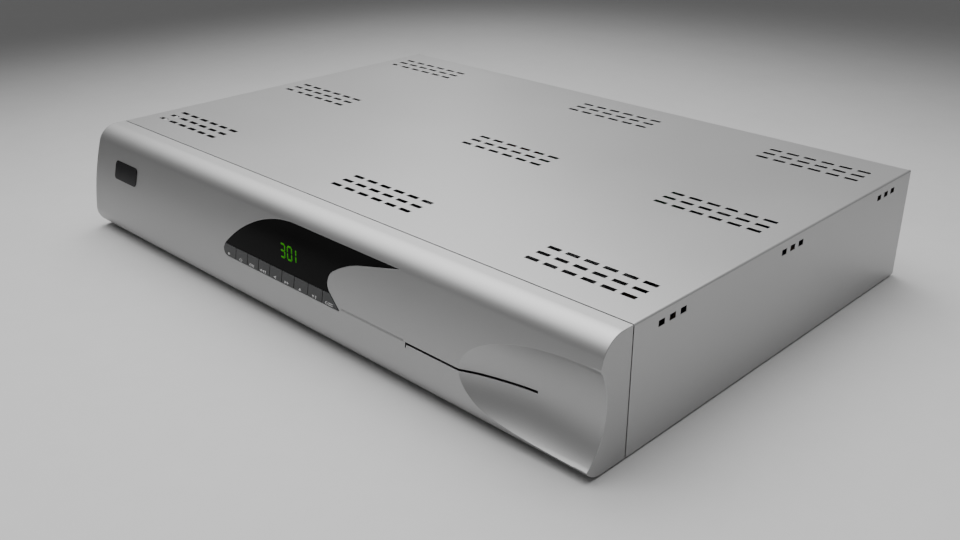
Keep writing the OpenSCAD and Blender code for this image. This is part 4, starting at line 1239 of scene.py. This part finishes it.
def monitor_port():
    """Raised rim, coloured insert and contact holes of the monitor port."""
    y = PANEL_OUT + 6
    outer, inner = rounded(VGA_AT, (18.6, 9.6), 2, 6, 1.4), rounded(VGA_AT, (17.2, 8.2), 1.5, 6, 1.3)
    bm = bmesh.new()
    collar(bm, outer, inner, y - 0.3, y + 0.9)
    place(soften(from_bmesh("vga_rim", bm), 0.12), "bright_metal")
    bm = bmesh.new()
    prism(bm, inner, y - 0.2, y + 0.3)
    place(soften(from_bmesh("vga_insert", bm), 0.06), "blue_plastic")
    spots = [(VGA_AT[0] + (i - 2) * 2.3 + (row - 1) * 0.7, VGA_AT[1] + (row - 1) * 2.2)
             for row in range(3) for i in range(5)]
    hole = [(0, y), (0.62, y), (0.62, y + 0.36), (0.34, y + 0.36), (0.3, y + 0.31), (0, y + 0.31)]
    place(turned("vga_contacts", hole, spots, 0.03, 16), "black_plastic")


def network_jack():
    """Plastic liner, eight sprung contacts and two lamps of the network jack."""
    front, back, wall = PANEL_OUT + 0.8, PANEL_OUT - 8.2, 0.6
    x0, x1, z0, z1 = LAN_X - 6, LAN_X + 6, BOARD_TOP + 2.4, BOARD_TOP + 10.4
    notch, in0, in1 = 1.6, x0 + 0.5, x1 - 0.5
    walls = [((x0, back, z0), (x0 + wall, front, z1)), ((x1 - wall, back, z0), (x1, front, z1)),
             ((in0, back, z1 - wall), (in1, front, z1)),
             ((in0, back, z0), (LAN_X - notch, front, z0 + 1.2)),
             ((LAN_X + notch, back, z0), (in1, front, z0 + 1.2)),
             ((in0, back, z0), (in1, back + wall, z1))]
    place(blocks("lan_liner", walls), "black_plastic")
    bm = bmesh.new()
    for i in range(8):
        x = LAN_X + (i - 3.5) * 1.02
        for v in box_bm(bm, (x - 0.18, back + wall, z1 - 1.1), (x + 0.18, front - 1.4, z1 - 0.8)):
            if v.co.y < back + 1:
                v.co.z -= 2.6
    place(soften(from_bmesh("lan_contacts", bm), 0.05), "brass")
    z = BOARD_TOP + 12
    lamps = (("lan_link_lamp", "green_plastic", -5.6), ("lan_busy_lamp", "tape_yellow", 5.6))
    for name, slot, side in lamps:
        x = LAN_X + side
        lamp = ((x - 1.3, front - 2, z - 0.7), (x + 1.3, front + 0.35, z + 0.7))
        place(blocks(name, [lamp], 0.15), slot)


def serial_tongues():
    """Tongues and contacts of the two serial sockets and of the video socket."""
    y = PANEL_OUT
    spans, strips = [], []
    for level in (1.2, 9.2):
        z = BOARD_TOP + level
        spans.append(((USB_X - 5.8, y - 9.9, z + 1.42), (USB_X + 5.8, y - 0.2, z + 3.3)))
        for x in (-3.5, -1.2, 1.2, 3.5):
            strips.append(((USB_X + x - 0.5, y - 9, z + 1.25), (USB_X + x + 0.5, y - 0.8, z + 1.5)))
    place(blocks("usb_tongues", spans, 0.12), "white_nylon")
    place(blocks("usb_contacts", strips, 0.04), "brass")
    z = BOARD_TOP + 2.3
    tongue = ((HDMI_X - 6.3, y - 9.5, z - 0.1), (HDMI_X + 6.3, y - 0.1, z + 1.5))
    place(blocks("hdmi_tongue", [tongue], 0.12), "black_plastic")


def terminal_screws():
    """Slotted screws and wire clamps of the alarm terminal."""
    y, bm = PANEL_OUT, bmesh.new()
    for i in range(8):
        x, z = ALARM_X + (i - 3.5) * ALARM_PITCH, BOARD_TOP + 7
        revolve(bm, [(0, y + 0.9), (1.15, y + 0.9), (1.15, y + 1.7), (0, y + 1.7)], (x, z), 24)
        for way in (0, 180):
            half = flat_arc((x, z), 1.15, way + 12, way + 168, 10)
            prism(bm, half, y + 1.7, y + 2.3)
        box_bm(bm, (x - 1.2, y - 4.8, z - 5.3), (x + 1.2, y - 0.4, z - 4.2))
    place(soften(from_bmesh("terminal_screws", bm), 0.06), "screw_steel")


FAN_HUB_R, FAN_REACH, FAN_BLADES, BLADE_ROWS, BLADE_COLS = 9.6, 21.6, 7, 9, 11


def fan_hub(y0, y1):
    """Domed hub with a plain disc on it."""
    hub = [(0, y0 + 0.2), (9.4, y0 + 0.2), (10, y0 + 0.8), (10, y1 - 1.2), (9.6, y1 - 0.4),
           (8.6, y1), (0, y1)]
    place(turned("fan_hub", hub, [FAN_AT], 0.15, 56), "black_plastic", "fan_rotor", ["fan_rotor"])
    disc_profile = [(0, y1 - 0.05), (7.4, y1 - 0.05), (7.4, y1 + 0.08), (0, y1 + 0.08)]
    place(turned("fan_hub_disc", disc_profile, [FAN_AT], 0.03, 48), "aluminium", "fan_rotor")


def blade_point(blade, t, u, mid, face):
    """A point of a swept, twisted blade: t runs from hub to tip, u from edge to edge."""
    r = FAN_HUB_R + (FAN_REACH - FAN_HUB_R) * t
    turn = 2 * math.pi * blade / FAN_BLADES + math.radians(14 * t * t + (u - 0.5) * (40 + 8 * t))
    lift = (0.5 - u) * (8.4 - 1.6 * t) + 0.9 * math.sin(math.pi * u)
    thick = 0.28 + 0.5 * (1 - (2 * u - 1) ** 2)
    return FAN_AT[0] + r * math.cos(turn), mid + lift + face * thick, FAN_AT[1] + r * math.sin(turn)


def fan_blades(mid):
    bm, n, m = bmesh.new(), BLADE_ROWS - 1, BLADE_COLS - 1
    edge = [(i, 0) for i in range(n + 1)] + [(n, j) for j in range(1, m + 1)]
    edge += [(i, m) for i in range(n - 1, -1, -1)] + [(0, j) for j in range(m - 1, 0, -1)]
    for blade in range(FAN_BLADES):
        top, low = ([[bm.verts.new(blade_point(blade, i / n, j / m, mid, face)) for j in range(m + 1)]
                     for i in range(n + 1)] for face in (1, -1))
        for i in range(n):
            for j in range(m):
                bm.faces.new((top[i][j], top[i + 1][j], top[i + 1][j + 1], top[i][j + 1]))
                bm.faces.new((low[i][j], low[i][j + 1], low[i + 1][j + 1], low[i + 1][j]))
        for (i, j), (k, q) in zip(edge, edge[1:] + edge[:1]):
            bm.faces.new((top[i][j], top[k][q], low[k][q], low[i][j]))
    place(soften(from_bmesh("fan_blades", bm), 0.12, 2, 50), "black_plastic", "fan_rotor")


def fan_turning():
    lo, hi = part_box("fan_rotor")
    y0, y1 = lo.y / MM - SEAM_Y, hi.y / MM - SEAM_Y
    fan_hub(y0, y1)
    fan_blades((y0 + y1) / 2)


def rocker_marks():
    """On and off marks, a bar and a ring, on the two slopes of the rocker."""
    tilt = math.radians(-ROCKER_TILT)
    shell = Shell()
    for mark in bar_mark(0, 4.0, 0.5, 3.0) + ring_marks((0, -4.0), 1.5, 0.45):
        rings = []
        for proud in (0.06, -0.1):
            points = []
            for x, v in mark:
                u = 2 + 1.4 * abs(v) / 6.6 + proud
                y = u * math.cos(tilt) - v * math.sin(tilt)
                z = u * math.sin(tilt) + v * math.cos(tilt)
                points.append((ROCKER_AT[0] + x, ROCKER_PIVOT + y, ROCKER_AT[1] + z))
            rings.append(shell.add(points, [(0, 1, 0)] * len(points)))
        shell.faces += [tuple(rings[0]), tuple(rings[1][::-1])]
        shell.strip(*rings)
    place(shell.build("rocker_marks", use_normals=False), "mark_white", "power_rocker")


# ---- building it all

camera()
ambient()
softbox()
floor()
dress_cad_nodes()

place(top_cover(), "cover_paint", stands_for=["top_cover"])
place(front_bezel(), "bezel_plastic", stands_for=["front_bezel"])
place(window_lens(), "smoked_window", stands_for=["display_window"])
place(badge(), "badge_black", stands_for=["badge_plate"])
place(lit_digits(), "led_green", stands_for=["digit_segments"])
for number in range(9):
    key_body = f"button_{number + 1}"
    place(key_cap(number), "key_plastic", key_body, [key_body])
    place(key_stem(number), "key_plastic", key_body)
    place(key_marks(number), "mark_white", key_body)
for cad_node, edge_width in ROUNDED.items():
    refine(cad_node, edge_width)
refine("power_rocker", 0.4, "power_rocker")
socket_details()
monitor_port()
network_jack()
serial_tongues()
terminal_screws()
fan_turning()
rocker_marks()
place(dust_gauze(), "black_plastic")
